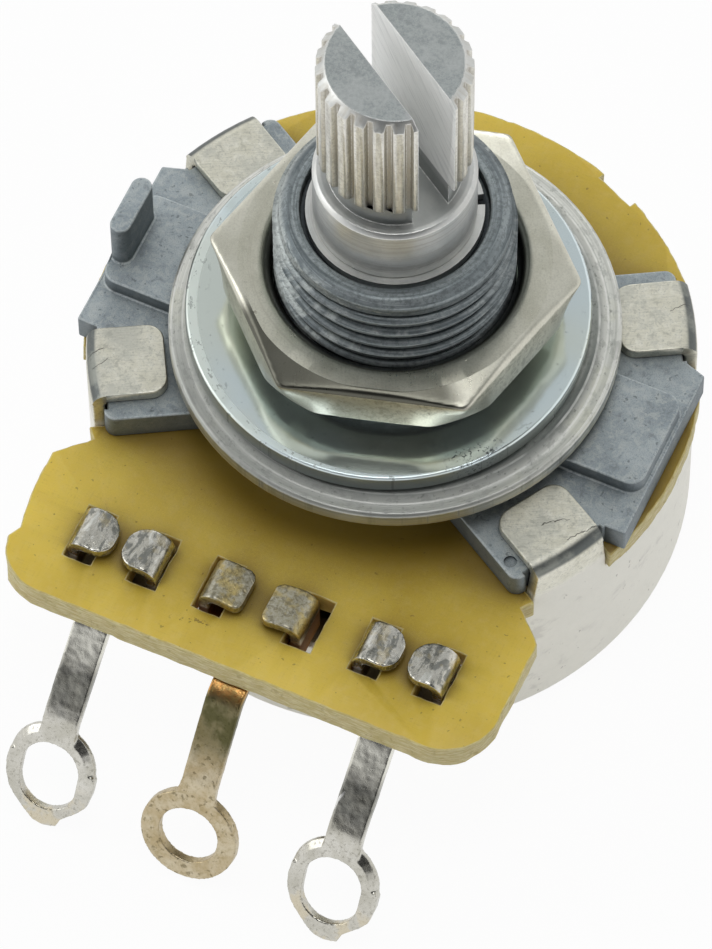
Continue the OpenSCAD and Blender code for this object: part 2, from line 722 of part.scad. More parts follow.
module bushing_plate() color([0.48, 0.53, 0.56]) difference() {
    union() {
        translate([body_x, body_y, z_plate]) linear_extrude(plate_t) plate_outline();
        translate([body_x, body_y, z_plate]) linear_extrude(plate_t + pad_h) pad_outline();
        translate([0, 0, z_board]) cylinder(r = spigot_r, h = board_t + cut);
        rotate_extrude() polygon([
            [0, z_plate], [bushing_r, z_plate], [bushing_r, z_mouth - bushing_chamfer],
            [bushing_r - bushing_chamfer, z_mouth], [0, z_mouth]]);
        translate([-key_x, -0.12, z_plate + 0.2]) linear_extrude(plate_t + pad_h + key_h - 0.2) {
            square([key_w, key_len - key_w], center = true);
            for (s = [-1, 1]) translate([0, s * (key_len - key_w) / 2]) circle(key_w / 2);
        }
    }
    translate([0, 0, z_board - cut])
        cylinder(r = shaft_r + shaft_gap, h = z_mouth - z_board + 2 * cut);
    translate([0, 0, z_mouth - mouth_depth]) cylinder(r = mouth_r, h = mouth_depth + cut);
    // Round mark of an ejector pin on the arm by the right-hand lug
    translate([body_x, body_y, z_seat - mark_depth]) rotate([0, 0, -tab_angle])
        translate([arm_r - 0.85, -arm_half_w + 0.42, 0]) cylinder(r = mark_r, h = 1);
}

// One twisted tooth of the lock washer, pointing inwards along X
module lock_tooth() {
    r0 = bushing_r + washer_play;
    translate([(r0 + lock_root_r + 0.3) / 2, 0, z_tooth]) rotate([tooth_twist, 0, 0])
        cube([lock_root_r + 0.3 - r0, tooth_w, tooth_t], center = true);
}

module lock_washer() color([0.74, 0.74, 0.68]) {
    z0 = z_tooth - lock_t / 2;
    // Rounding of the outer edge, and the width of the step's slope
    rim = 0.12;
    slope = 0.35;
    land = lock_r - lock_rim_w;
    top = z0 + lock_t + lock_step_h;
    intersection() {
        union() {
            rotate_extrude() polygon([
                [lock_root_r, z0], [lock_r - rim, z0], [lock_r, z0 + rim],
                [lock_r, z0 + lock_t - rim], [lock_r - rim, z0 + lock_t], [land, z0 + lock_t],
                [land - slope, top], [lock_root_r, top]]);
            for (i = [0:lock_teeth - 1]) rotate([0, 0, i * 360 / lock_teeth]) lock_tooth();
        }
        translate([0, 0, z_pad]) disc_ring(lock_r + 1, bushing_r + washer_play, tooth_rise);
    }
}

// The flat washer lies to one side, as far as its play on the bushing lets it
module flat_washer() color([0.80, 0.83, 0.80])
    translate([-washer_play * 0.88, -washer_play * 0.45, z_flat])
        rotate_extrude() {
            edge = 0.14;
            r0 = bushing_r + washer_play + 0.01;
            polygon([[r0, edge], [r0 + edge, 0], [flat_r - edge, 0], [flat_r, edge],
                     [flat_r, flat_t - edge], [flat_r - edge, flat_t], [r0 + edge, flat_t],
                     [r0, flat_t - edge]]);
        }

// Section of the nut across two flats, with its upper edges bevelled
module nut_section() {
    h = nut_h;
    a = nut_af / 2;
    polygon([[-a, 0], [a, 0], [a, h - nut_bevel], [a - nut_bevel * 0.75, h],
             [-a + nut_bevel * 0.75, h], [-a, h - nut_bevel]]);
}

module hex_nut() color([0.72, 0.70, 0.62]) translate([0, 0, z_nut]) rotate([0, 0, nut_angle])
    difference() {
        face = nut_af / 2;
        corner = face + 1.4;
        intersection() {
            for_flats();
            // Turned faces: the corners fall away above and below
            rotate_extrude() polygon([
                [0, 0], [face - 0.05, 0], [corner, 0.5], [corner, nut_h - 0.3],
                [face - 0.25, nut_h], [0, nut_h]]);
        }
        translate([0, 0, -cut]) cylinder(r = bushing_r + slip / 2, h = nut_h + 2 * cut);
        mouth = nut_mouth_r - bushing_r;
        translate([0, 0, nut_h - mouth]) cylinder(r1 = bushing_r, r2 = nut_mouth_r + cut,
                                                  h = mouth + cut);
        translate([0, 0, -cut]) cylinder(r1 = nut_mouth_r - 0.1 + cut, r2 = bushing_r,
                                         h = mouth - 0.1 + cut);
    }

module for_flats() {
    intersection() {
        nut_bar(30);
        nut_bar(90);
        nut_bar(150);
    }
}
module nut_bar(a) rotate([0, 0, a]) rotate([90, 0, 0])
    translate([0, 0, -nut_af]) linear_extrude(2 * nut_af) nut_section();

// Section of the spline: straight-sided teeth with round crests
module spline_section() {
    pitch = 360 / spline_teeth;
    crest = pitch * 0.255;
    root = pitch * 0.40;
    circle(spline_root_r);
    intersection() {
        circle(spline_r);
        for (i = [0:spline_teeth - 1]) rotate([0, 0, i * pitch]) polygon([
            [0, 0], spline_root_r * 0.98 * [cos(root), -sin(root)],
            spline_r * 1.01 * [cos(crest), -sin(crest)],
            spline_r * 1.01 * [cos(crest), sin(crest)],
            spline_root_r * 0.98 * [cos(root), sin(root)]]);
    }
}

// Section of the tang: round with two flats
module tang_section(gap = 0) {
    intersection() {
        circle(tang_r + gap);
        square([2 * tang_r + 2, tang_af + 2 * gap], center = true);
    }
}

rotor_z0 = can_t + 0.15;
clip_z = z_mouth - mouth_depth + 0.05;

module shaft() color([0.72, 0.73, 0.70]) rotate([0, 0, shaft_turn]) difference() {
    union() {
        translate([0, 0, z_hub]) cylinder(r = shaft_r, h = z_collar - z_hub - collar_chamfer);
        translate([0, 0, z_collar - collar_chamfer])
            cylinder(r1 = shaft_r, r2 = shaft_r - collar_chamfer, h = collar_chamfer);
        translate([0, 0, z_collar - 0.1]) cylinder(r = neck_r, h = neck_h + 0.2);
        intersection() {
            translate([0, 0, z_spline]) linear_extrude(spline_len) spline_section();
            rotate_extrude() polygon([
                [0, z_spline], [spline_r - 0.12, z_spline], [spline_r + 0.1, z_spline + 0.22],
                [spline_r + 0.1, z_top - end_chamfer - 0.1], [spline_r - end_chamfer, z_top],
                [0, z_top]]);
        }
        translate([0, 0, rotor_z0 + 0.75]) linear_extrude(z_hub - rotor_z0 - 0.7) tang_section();
        // Staked end, which holds the rotor
        translate([0, 0, rotor_z0 + 0.35])
            cylinder(r1 = tang_r - 0.1, r2 = tang_r + 0.25, h = 0.45);
    }
    translate([0, 0, z_collar]) translate([-shaft_r, -shaft_slot / 2, 0])
        cube([2 * shaft_r, shaft_slot, z_top - z_collar + cut]);
    translate([0, 0, clip_z - 0.03]) disc_ring(shaft_r + 1, groove_r, clip_t + 0.06);
}

module retaining_ring() color([0.62, 0.66, 0.66]) translate([0, 0, clip_z])
    ring_sector(groove_r + 0.02, clip_r, 31 + clip_gap / 2, 391 - clip_gap / 2, clip_t);

module thrust_washer() color([0.75, 0.62, 0.35])
    translate([0, 0, z_board - slip - thrust_t])
        disc_ring(thrust_r, shaft_r + 0.06, thrust_t);

// Bowed washer: a strip of a wide, thin tube cut out by a ring
module spring_washer() color([0.70, 0.66, 0.50]) {
    room = hub_drop - slip - thrust_t - spring_t - 0.02;
    span = thrust_r - 0.05;
    // Radius of the bow, from its height over half its span
    bow = (span * span + room * room) / (2 * room);
    z1 = z_hub + room + spring_t + 0.01;
    intersection() {
        translate([0, 0, z_hub]) disc_ring(span, shaft_r + 0.06, hub_drop);
        translate([0, 0, z1 - bow - spring_t]) rotate([0, 90, 0]) translate([0, 0, -span])
            difference() {
                cylinder(r = bow + spring_t, h = 2 * span, $fn = 360);
                translate([0, 0, -cut]) cylinder(r = bow, h = 2 * span + 2 * cut, $fn = 360);
            }
    }
}

// Half of the angle that the rotor's own stop spans
dog_half = (360 - travel - stop_angle) / 2 - stop_play;
dog_r = can_r - can_t - 0.65;

module rotor() color([0.16, 0.15, 0.14]) rotate([0, 0, shaft_turn]) difference() {
    union() {
        rotate_extrude() polygon([
            [0, rotor_z0], [rotor_hub_r, rotor_z0], [rotor_hub_r, z_disc - rotor_t],
            [rotor_r, z_disc - rotor_t], [rotor_r, z_disc], [rotor_hub_r, z_disc],
            [rotor_hub_r, z_hub], [0, z_hub]]);
        // Stop that meets the can's pocket at both ends of the travel
        translate([0, 0, stop_z0]) ring_sector(rotor_r - 1.4, dog_r, 90 - dog_half,
                                               90 + dog_half, z_disc - stop_z0 - 0.2);
        // Stakes that hold the wiper
        for (p = STAKES) translate([p[0], p[1], z_disc - 0.2])
            cylinder(r = 0.45, h = 0.2 + wiper_t + 0.12);
    }
    translate([0, 0, rotor_z0 - cut]) linear_extrude(z_hub) tang_section(0.02);
    translate([0, 0, rotor_z0 - cut]) cylinder(r = tang_r + 0.3, h = 0.8 + cut);
}
STAKES = [[2.4, rotor_hub_r + 0.7], [2.4, rotor_r - 1.3]];

// Offset of the wiper's bend from the shaft's axis, its base's width and its fingers' reach
wiper_x = 1.5;
wiper_base = 2.15;
finger_reach = 3.2;

// Number of fingers that a band of the given width holds
function fingers(w) = floor((w - 0.2 + finger_gap) / (finger_w + finger_gap));

// One finger, which rises from the base to the track and ends in a round tip
module finger(r) {
    reach = finger_reach;
    rise = z_print - 0.03 - z_disc - wiper_t;
    bead = 0.16;
    tilt = atan((rise - bead) / reach);
    translate([wiper_x, r - finger_w / 2, z_disc]) rotate([0, tilt, 0]) mirror([1, 0, 0])
        cube([reach / cos(tilt), finger_w, wiper_t]);
    translate([wiper_x - reach, r + finger_w / 2, z_print - 0.03 - bead]) rotate([90, 0, 0])
        cylinder(r = bead, h = finger_w, $fn = 32);
}

module finger_row(r1, r2) {
    n = fingers(r2 - r1);
    step = finger_w + finger_gap;
    for (i = [0:n - 1]) finger((r1 + r2) / 2 + (i - (n - 1) / 2) * step);
}

module wiper() color([0.80, 0.62, 0.32]) rotate([0, 0, shaft_turn]) difference() {
    union() {
        translate([0, 0, z_disc]) linear_extrude(wiper_t) intersection() {
            difference() {
                circle(rotor_r - 0.1);
                circle(rotor_hub_r + 0.15);
            }
            translate([wiper_x - slip, 0]) square([wiper_base + slip, rotor_r]);
        }
        finger_row(track_r1, track_r2 - 0.3);
        finger_row(ring_r1, ring_r2);
    }
    for (p = STAKES) translate([p[0], p[1], z_disc - cut]) cylinder(r = 0.5, h = 2);
}

can();
contact_board();
resistive_track();
collector_ring();
end_contact_left();
end_contact_right();
terminal_left();
terminal_middle();
terminal_right();
bushing_plate();
lock_washer();
flat_washer();
hex_nut();
shaft();
retaining_ring();
thrust_washer();
spring_washer();
rotor();
wiper();
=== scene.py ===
"""Looks of a panel-mount rotary potentiometer: drawn can, laminate board, solder lugs,
cast plate with its threaded bushing, two washers, a nut and a splined, slotted shaft."""
import math

import bmesh
import bpy
from mathutils import Matrix, Vector, noise
from mathutils.bvhtree import BVHTree


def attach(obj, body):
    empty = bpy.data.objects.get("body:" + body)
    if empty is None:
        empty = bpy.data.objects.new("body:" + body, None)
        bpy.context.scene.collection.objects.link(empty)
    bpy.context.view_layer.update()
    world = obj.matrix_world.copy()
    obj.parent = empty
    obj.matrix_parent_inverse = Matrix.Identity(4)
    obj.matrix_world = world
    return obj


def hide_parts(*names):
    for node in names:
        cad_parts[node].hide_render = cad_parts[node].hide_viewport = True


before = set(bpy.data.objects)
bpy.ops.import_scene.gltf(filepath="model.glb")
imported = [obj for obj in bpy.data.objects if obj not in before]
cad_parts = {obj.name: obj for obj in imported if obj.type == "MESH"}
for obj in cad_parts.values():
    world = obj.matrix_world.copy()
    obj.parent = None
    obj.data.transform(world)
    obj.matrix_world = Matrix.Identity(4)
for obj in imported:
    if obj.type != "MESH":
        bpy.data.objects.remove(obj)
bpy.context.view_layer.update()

MM = 0.001
scene = bpy.context.scene
scene.view_settings.view_transform = "Standard"

# Sizes that the looks share with the solids, in millimetres. Heights start at the can's floor.
Z_BOARD, Z_PLATE, Z_SEAT, Z_PAD, Z_NUT, Z_MOUTH = 7.85, 8.85, 10.15, 10.85, 14.735, 20.4
Z_NECK, Z_SPLINE, Z_END = 23.2, 24.5, 30.5
CAN_CENTRE = (-0.12, -0.1)
# The board's front strip is what lies beyond this Y
FRONT_STRIP = -14.6
CREST_R, ROOT_R, PITCH, CHAMFER = 4.73, 4.24, 0.794, 0.53
NUT_HALF, NUT_TALL, NUT_CORNER, NUT_FACING = 6.35, 2.0, 7.27, 46.4
NUT_ROLL, NUT_FOOT = 0.33, 0.14
SLOT_TURN, SLOT_HALF = -32.5, 0.84

# Direction from the object to the camera and its roll in degrees, then its place along its own
# right, up and back directions in millimetres, and its lens
AZIMUTH, ELEVATION, ROLL = 25.187, 59.983, -0.637
ASIDE, RAISED, AWAY = -1.6133, -0.0951, 305.901
LENS = 284.93


def direction(azimuth, elevation):
    """Unit vector from the object towards an azimuth and elevation in degrees."""
    a, e = math.radians(azimuth), math.radians(elevation)
    return Vector((math.sin(a) * math.cos(e), -math.cos(a) * math.cos(e), math.sin(e)))


def camera_axes():
    """Right, up and back directions of the camera."""
    a, r = math.radians(AZIMUTH), math.radians(ROLL)
    back = direction(AZIMUTH, ELEVATION)
    right = Vector((math.cos(a), math.sin(a), 0))
    up = back.cross(right)
    return (math.cos(r) * right + math.sin(r) * up, math.cos(r) * up - math.sin(r) * right, back)


def set_camera():
    right, up, back = camera_axes()
    camera = bpy.data.objects.new("camera", bpy.data.cameras.new("camera"))
    scene.collection.objects.link(camera)
    camera.data.lens = LENS
    camera.data.clip_start, camera.data.clip_end = 0.05, 5.0
    camera.location = (right * ASIDE + up * RAISED + back * AWAY) * MM
    camera.rotation_mode = "QUATERNION"
    camera.rotation_quaternion = Matrix((right, up, back)).transposed().to_quaternion()
    scene.camera = camera


set_camera()


class Value:
    """A number or colour that varies over a surface, worked out by a material's own nodes."""

    def __init__(self, finish, socket):
        self.finish, self.socket = finish, socket

    def __add__(self, other):
        return self.finish.maths("ADD", self, other)

    def __sub__(self, other):
        return self.finish.maths("SUBTRACT", self, other)

    def __mul__(self, other):
        return self.finish.maths("MULTIPLY", self, other)

    def __truediv__(self, other):
        return self.finish.maths("DIVIDE", self, other)

    def __rsub__(self, other):
        return self.finish.maths("SUBTRACT", other, self)

    def __abs__(self):
        return self.finish.maths("ABSOLUTE", self)

    __radd__, __rmul__ = __add__, __mul__


class Finish:
    """A material in the making, with the patterns that the object's surfaces share."""

    def __init__(self, name, tree=None):
        if tree is None:
            self.material = bpy.data.materials.new(name)
            self.material.use_nodes = True
            tree = self.material.node_tree
        self.tree = tree
        self.tree.nodes.clear()

    def add(self, kind, settings=None, inputs=None, output=0):
        """Any node: its settings first, then its sockets, by name or number."""
        node = self.tree.nodes.new(kind)
        for name, value in (settings or {}).items():
            setattr(node, name, value)
        for name, value in (inputs or {}).items():
            socket = node.inputs[name]
            if isinstance(value, Value):
                self.tree.links.new(value.socket, socket)
            else:
                opaque = socket.type == "RGBA" and len(value) == 3
                socket.default_value = value + (1,) if opaque else value
        return Value(self, node.outputs[output]) if node.outputs else None

    def maths(self, operation, *values):
        return self.add("ShaderNodeMath", {"operation": operation}, dict(enumerate(values)))

    def vector(self, operation, a, b):
        return self.add("ShaderNodeVectorMath", {"operation": operation},
                        {0: a, "Scale" if operation == "SCALE" else 1: b})

    def most(self, first, *others):
        """The largest of several values at each point."""
        for value in others:
            first = self.maths("MAXIMUM", first, value)
        return first

    def mix(self, share, a, b):
        """Colour a where share is 0 and colour b where it is 1."""
        return self.add("ShaderNodeMix", {"data_type": "RGBA"}, {0: share, 6: a, 7: b}, output=2)

    def layers(self, colour, *coats):
        """A colour with others laid over it in turn, each given as its share and its colour."""
        for share, tint in coats:
            colour = self.mix(share, colour, tint)
        return colour

    def step(self, value, low, high):
        """0 below low, 1 above high and smooth between; the other way round if low is above high."""
        return self.add("ShaderNodeMapRange", {"interpolation_type": "SMOOTHSTEP"},
                        {"Value": value, 1: low, 2: high})

    def drift(self, cloud, dark, light):
        """One colour drifting into another with a cloudy pattern."""
        return self.mix(self.step(cloud, 0.3, 0.7), dark, light)

    def place(self):
        """Place on the object in millimetres, as a vector and as x, y and z."""
        point = self.vector("SCALE", self.add("ShaderNodeTexCoord", output=3), 1000.0)
        return point, self.parts(point)

    def parts(self, vector):
        node = self.add("ShaderNodeSeparateXYZ", None, {0: vector})
        return [Value(self, s) for s in node.socket.node.outputs]

    def join(self, x, y, z):
        return self.add("ShaderNodeCombineXYZ", None, {0: x, 1: y, 2: z})

    def up(self):
        """How far the surface faces along +Z, -1 to 1."""
        return self.parts(self.add("ShaderNodeTexCoord", output=1))[2]

    def worn(self):
        """1 on the narrow faces along an edge."""
        return self.add("ShaderNodeAttribute", {"attribute_name": "worn"}, output=2)

    def openness(self, reach):
        """1 in the open, less where something stands within reach millimetres."""
        return self.add("ShaderNodeAmbientOcclusion", {"samples": 8, "only_local": False},
                        {"Distance": reach * MM}, output="AO")

    def noise(self, vector, scale, detail=3.0, rough=0.55, warp=0.0):
        return self.add("ShaderNodeTexNoise", None,
                        {"Vector": vector, "Scale": scale, "Detail": detail, "Roughness": rough,
                         "Distortion": warp})

    def round_place(self, centre=(0.0, 0.0)):
        """Distance from a Z axis and the direction from it."""
        _, (x, y, _) = self.place()
        x, y = x - centre[0], y - centre[1]
        r = self.maths("SQRT", x * x + y * y + 1e-6)
        return r, x / r, y / r

    def rings(self, density, wander=0.6, detail=3.0):
        """Turning marks: fine lines round the shaft's axis, on flat faces and on walls."""
        r, c, s = self.round_place()
        _, (_, _, z) = self.place()
        return self.noise(self.join((r + z * 1.31) * density, c * wander, s * wander), 1.0, detail, 0.6)

    def brushing(self, along, fine, long=0.5, detail=3.0):
        """Fine lines that run along a direction in the board's plane, in degrees."""
        _, (x, y, z) = self.place()
        c, s = math.cos(math.radians(along)), math.sin(math.radians(along))
        return self.noise(self.join((x * c + y * s) * long, (y * c - x * s) * fine, z * fine),
                          1.0, detail, 0.6)

    def pits(self, scale, low, high, stretch=(1.0, 1.0, 1.0), detail=2.0):
        """Scattered specks: 1 in a speck."""
        point, _ = self.place()
        return self.step(self.noise(self.vector("MULTIPLY", point, stretch), scale, detail, 0.5),
                         low, high)

    def mark(self, a, b, width, bend=0.0):
        """A single scratch from point a to point b in the plan, 1 on its line."""
        point, (x, y, _) = self.place()
        dx, dy = b[0] - a[0], b[1] - a[1]
        length = math.hypot(dx, dy)
        wobble = (self.noise(point, 3.0, 2.0) - 0.5) * (bend + 0.08)
        u = ((x - a[0]) * dx + (y - a[1]) * dy) / length
        v = ((y - a[1]) * dx - (x - a[0]) * dy) / length + wobble
        across = self.step(abs(v), width, width * 0.35)
        ends = self.step(u, -width, width) * self.step(u, length + width, length - width)
        return across * ends

    def bump(self, height, depth, strength):
        """Normal from a height of 0 to 1 that stands for depth in millimetres."""
        return self.add("ShaderNodeBump", None,
                        {"Height": height, "Distance": depth * MM, "Strength": strength})

    def shade(self, colour, roughness, metallic, normal, **fixed):
        """Closes the material on a Principled shader."""
        inputs = {"Base Color": colour, "Roughness": roughness, "Metallic": metallic, "Normal": normal}
        inputs.update({name.replace("_", " "): value for name, value in fixed.items()})
        surface = self.add("ShaderNodeBsdfPrincipled", None, inputs)
        self.add("ShaderNodeOutputMaterial", None, {"Surface": surface})
        return self.material


def cast_zinc():
    """Matt die-cast zinc of the plate: a blotchy blue-grey grain with pits, and painted shade on its
    sides.
    """
    f = Finish("cast zinc")
    point, _ = f.place()
    cloud = f.noise(point, 0.45, 3.0, 0.6)
    blotch = f.noise(point, 2.2, 4.0, 0.7, 0.5)
    grain = f.noise(point, 9.0, 4.0, 0.7)
    fine = f.noise(point, 26.0, 2.0, 0.6)
    pit = f.pits(4.2, 0.66, 0.72)
    # Painted shade on the casting's upright sides
    side = f.step(abs(f.up()), 0.75, 0.25)
    edge = f.worn() * f.step(grain, 0.35, 0.6) * f.step(f.up(), 0.2, 0.8)
    # Painted shade in the corners between the casting's steps and under the tabs
    crevice_shade = f.step(f.openness(0.9), 0.8, 0.35)
    colour = f.layers(
        f.drift(cloud, (0.30, 0.345, 0.37), (0.43, 0.48, 0.50)),
        (f.step(blotch, 0.48, 0.66) * 0.5, (0.56, 0.59, 0.57)),
        (f.step(blotch, 0.46, 0.32) * 0.5, (0.18, 0.205, 0.215)),
        (f.step(grain, 0.45, 0.72) * 0.4, (0.58, 0.61, 0.60)),
        (f.step(fine, 0.52, 0.70) * 0.6, (0.16, 0.18, 0.19)),
        (pit * 0.35, (0.08, 0.10, 0.11)),
        (side * 0.55, (0.11, 0.13, 0.145)),
        (edge * 0.4, (0.62, 0.66, 0.66)),
        (crevice_shade * 0.6, (0.05, 0.06, 0.065)))
    rough = 0.52 + 0.16 * grain + 0.1 * pit
    normal = f.bump(grain * 0.7 + fine * 0.3 - pit * 0.6, 0.02, 0.7)
    return f.shade(colour, rough, 0.85, normal)


def turned_bushing():
    """Bushing of the same zinc, turned and threaded: fine rings, worn crests, painted shade in the roots
    and painted light on the crests of one side.
    """
    f = Finish("turned zinc")
    point, (_, _, z) = f.place()
    r, c, s = f.round_place()
    ring = f.rings(9.0, 0.8, 4.0)
    broad = f.rings(2.2, 1.4, 2.0)
    streak = f.noise(f.join(c * 5.0, s * 5.0, z * 11.0), 1.0, 3.0, 0.65)
    grain = f.noise(point, 14.0, 3.0, 0.65)
    smut = f.noise(point, 5.0, 4.0, 0.75)
    crest = f.step(r, CREST_R - 0.28, CREST_R)
    # Painted shade in the thread's roots
    root = f.step(r, ROOT_R + 0.18, ROOT_R) * f.step(z, Z_MOUTH - 0.4, Z_MOUTH - 0.8)
    # Painted light: patches on the crests are paler, most of all on the -X side, which faces the side
    # lamp
    lamp_side_light = f.noise(f.join(c * 3.2, s * 3.2, z * 2.6), 1.0, 4.0, 0.7, 0.6)
    lamp_side_light = f.step(lamp_side_light - c * 0.22 + 0.04 * s, 0.50, 0.64) * f.step(r, 4.25, 4.5)
    # The bore's mouth is in shade and holds some grease
    bore = f.step(r, 3.75, 3.5)
    colour = f.layers(
        f.mix(f.step(ring, 0.34, 0.68), (0.15, 0.175, 0.185), (0.36, 0.40, 0.41)),
        (f.step(broad, 0.55, 0.75) * 0.4, (0.62, 0.66, 0.66)),
        (root * 0.8, (0.06, 0.07, 0.08)),
        (crest * f.step(streak, 0.5, 0.72) * 0.55, (0.72, 0.75, 0.74)),
        (f.step(grain, 0.62, 0.72) * 0.5, (0.11, 0.125, 0.135)),
        (lamp_side_light * 0.7, (0.58, 0.62, 0.60)),
        (f.step(smut, 0.46, 0.60) * 0.45, (0.10, 0.115, 0.12)),
        (bore * 0.85, (0.035, 0.04, 0.045)))
    rough = 0.34 + 0.2 * ring + 0.12 * grain
    normal = f.bump(ring * 0.8 + grain * 0.2, 0.02, 0.8)
    return f.shade(colour, rough, 0.95, normal)


# Scratches on the can's folded tabs: two ends in the plan, width and bend in millimetres
TAB_SCARS = (
    ((9.9, -5.6), (10.7, -4.5), 0.028, 0.25),
    ((8.7, -5.4), (9.6, -4.7), 0.024, 0.3),
    ((-10.9, -6.0), (-10.3, -5.2), 0.026, 0.1),
    ((-10.3, -6.2), (-9.9, -5.6), 0.02, 0.1),
    ((10.6, 5.2), (11.2, 5.8), 0.024, 0.1),
    ((9.4, 5.6), (9.9, 6.3), 0.02, 0.2))


def drawn_can():
    """Nickel-plated steel of the can and its folded tabs: warm, brushed and a little marked."""
    f = Finish("drawn can")
    point, (_, _, z) = f.place()
    r, c, s = f.round_place(CAN_CENTRE)
    brushed = f.brushing(28, 14.0, 1.6)
    cloud = f.noise(point, 0.8, 3.0, 0.6)
    blotch = f.noise(point, 3.4, 4.0, 0.7, 0.4)
    grain = f.noise(point, 11.0, 3.0, 0.7)
    drawn = f.noise(f.join(c * 6.0, s * 6.0, z * 2.2), 1.0, 4.0, 0.6)
    # The wall below the tabs is painted paler and less metallic, a painted reflection of the white
    # surroundings, with smears and small nicks
    wall = f.step(z, Z_PLATE + 0.35, Z_PLATE - 0.25)
    smears = f.noise(f.join(c * 9.0, s * 9.0, z * 0.9), 1.0, 4.0, 0.65, 0.4)
    nicks = f.pits(3.4, 0.70, 0.74, (1.0, 1.0, 0.7))
    # Bends of the tabs: painted dark reflection
    bend = f.step(r, 11.2, 11.6) * f.step(z, Z_PLATE + 0.45, Z_PLATE + 1.05)
    bend = bend * f.step(f.up(), 0.985, 0.85) * f.step(f.up(), 0.2, 0.5)
    # Painted brown shade on the can's inside below the board
    shade_inside = f.step(r, 11.9, 11.8) * f.step(z, Z_BOARD, Z_BOARD - 0.15)
    dull = f.step(z, Z_SEAT + 0.05, Z_SEAT + 0.25) * f.step(cloud + 0.25 * grain, 0.55, 0.75)
    scars = f.most(*(f.mark(*scar) for scar in TAB_SCARS)) * f.step(z, Z_SEAT + 0.05, Z_SEAT + 0.35)
    colour = f.layers(
        f.drift(cloud, (0.67, 0.655, 0.55), (0.80, 0.785, 0.69)),
        (f.step(brushed, 0.45, 0.75) * 0.45, (0.42, 0.42, 0.37)),
        (f.step(blotch, 0.5, 0.68) * 0.45, (0.86, 0.85, 0.77)),
        (f.step(blotch, 0.46, 0.34) * 0.45, (0.36, 0.36, 0.31)),
        (f.step(grain, 0.55, 0.72) * 0.5, (0.30, 0.31, 0.28)),
        (wall * 0.85, (0.95, 0.935, 0.86)),
        (f.step(smears, 0.58, 0.70) * wall * 0.3, (0.52, 0.50, 0.46)),
        (nicks * wall * 0.5, (0.36, 0.34, 0.30)),
        (bend * 0.9, (0.08, 0.095, 0.10)),
        (shade_inside * 0.85, (0.20, 0.14, 0.05)),
        (dull * 0.5, (0.40, 0.41, 0.36)),
        (scars * 0.85, (0.10, 0.10, 0.09)))
    rough = 0.30 + 0.16 * brushed + 0.12 * cloud + wall * 0.16
    normal = f.bump(brushed * 0.6 + grain * 0.2 + drawn * 0.4 - scars, 0.02, 0.6)
    return f.shade(colour, rough, 1.0 - wall * 0.75, normal)


def laminate():
    """Glossy translucent yellow laminate, with a pale fibrous cut edge and a few specks."""
    f = Finish("yellow laminate")
    point, (x, y, z) = f.place()
    flat = abs(f.up())
    cloud = f.noise(point, 0.16, 3.0, 0.55)
    mottled = f.noise(point, 2.4, 4.0, 0.65)
    warp = f.noise(f.vector("MULTIPLY", point, (1.4, 14.0, 14.0)), 1.0, 2.0)
    weft = f.noise(f.vector("MULTIPLY", point, (14.0, 1.4, 14.0)), 1.0, 2.0)
    fibre = f.noise(f.join(x * 2.0, y * 2.0, z * 16.0), 1.0, 4.0, 0.7)
    scuff = f.mark((-3.2, -14.1), (-1.6, -13.9), 0.14, 0.5) * f.step(f.noise(point, 6.0, 2.0), 0.54, 0.62)
    speck = f.most(f.pits(1.9, 0.725, 0.75, (1.0, 1.0, 0.3), 3.0) * f.step(mottled, 0.42, 0.5),
                   f.pits(5.0, 0.74, 0.78, (1.0, 1.0, 0.3), 1.0) * 0.7, scuff)
    # The cut edge shows the pale fibres, and the slots' walls the golden resin
    wall = f.step(flat, 0.85, 0.5)
    edge = f.most(wall, f.worn() * 0.75)
    slots = f.step(y, -14.3, -14.1) * f.step(y, -9.2, -9.5) * f.step(abs(x), 9.5, 9.2)
    cut = f.layers(
        f.mix(f.step(fibre, 0.35, 0.7), (0.52, 0.44, 0.20), (0.76, 0.70, 0.45)),
        (f.step(mottled, 0.58, 0.68) * 0.5, (0.32, 0.25, 0.10)),
        (slots * wall * 0.8, (0.72, 0.46, 0.06)))
    # Light that gets under the washers goes brown in the resin
    shade = f.step(f.openness(7.8), 0.97, 0.5) * (1.0 - edge * 0.7)
    colour = f.layers(
        f.drift(cloud, (0.63, 0.45, 0.036), (0.78, 0.58, 0.075)),
        (f.step(mottled, 0.4, 0.8) * 0.25, (0.76, 0.60, 0.20)),
        (f.step(warp + weft, 1.06, 1.3) * 0.16, (0.42, 0.28, 0.04)),
        (speck * 0.65, (0.16, 0.10, 0.02)),
        (edge * 0.9, cut),
        (shade * 0.8, (0.12, 0.062, 0.003)))
    rough = 0.36 + 0.12 * mottled + edge * 0.38 + speck * 0.2
    relief = warp * 0.12 + weft * 0.12 + mottled * 0.25 + edge * fibre * 1.6 - speck * 0.4
    return f.shade(colour, rough, 0.0, f.bump(relief, 0.03, 0.7),
                   Subsurface_Weight=0.12, Subsurface_Scale=0.0012,
                   Subsurface_Radius=(1.0, 0.6, 0.12), Coat_Weight=0.12, Coat_Roughness=0.25, IOR=1.5)


def under_board(f, y, z):
    """1 on the part of a lug that lies under the board behind its front strip, in brown light."""
    return f.step(z, Z_PLATE - 0.1, Z_PLATE - 0.35) * f.step(y, FRONT_STRIP - 0.1, FRONT_STRIP + 0.2)


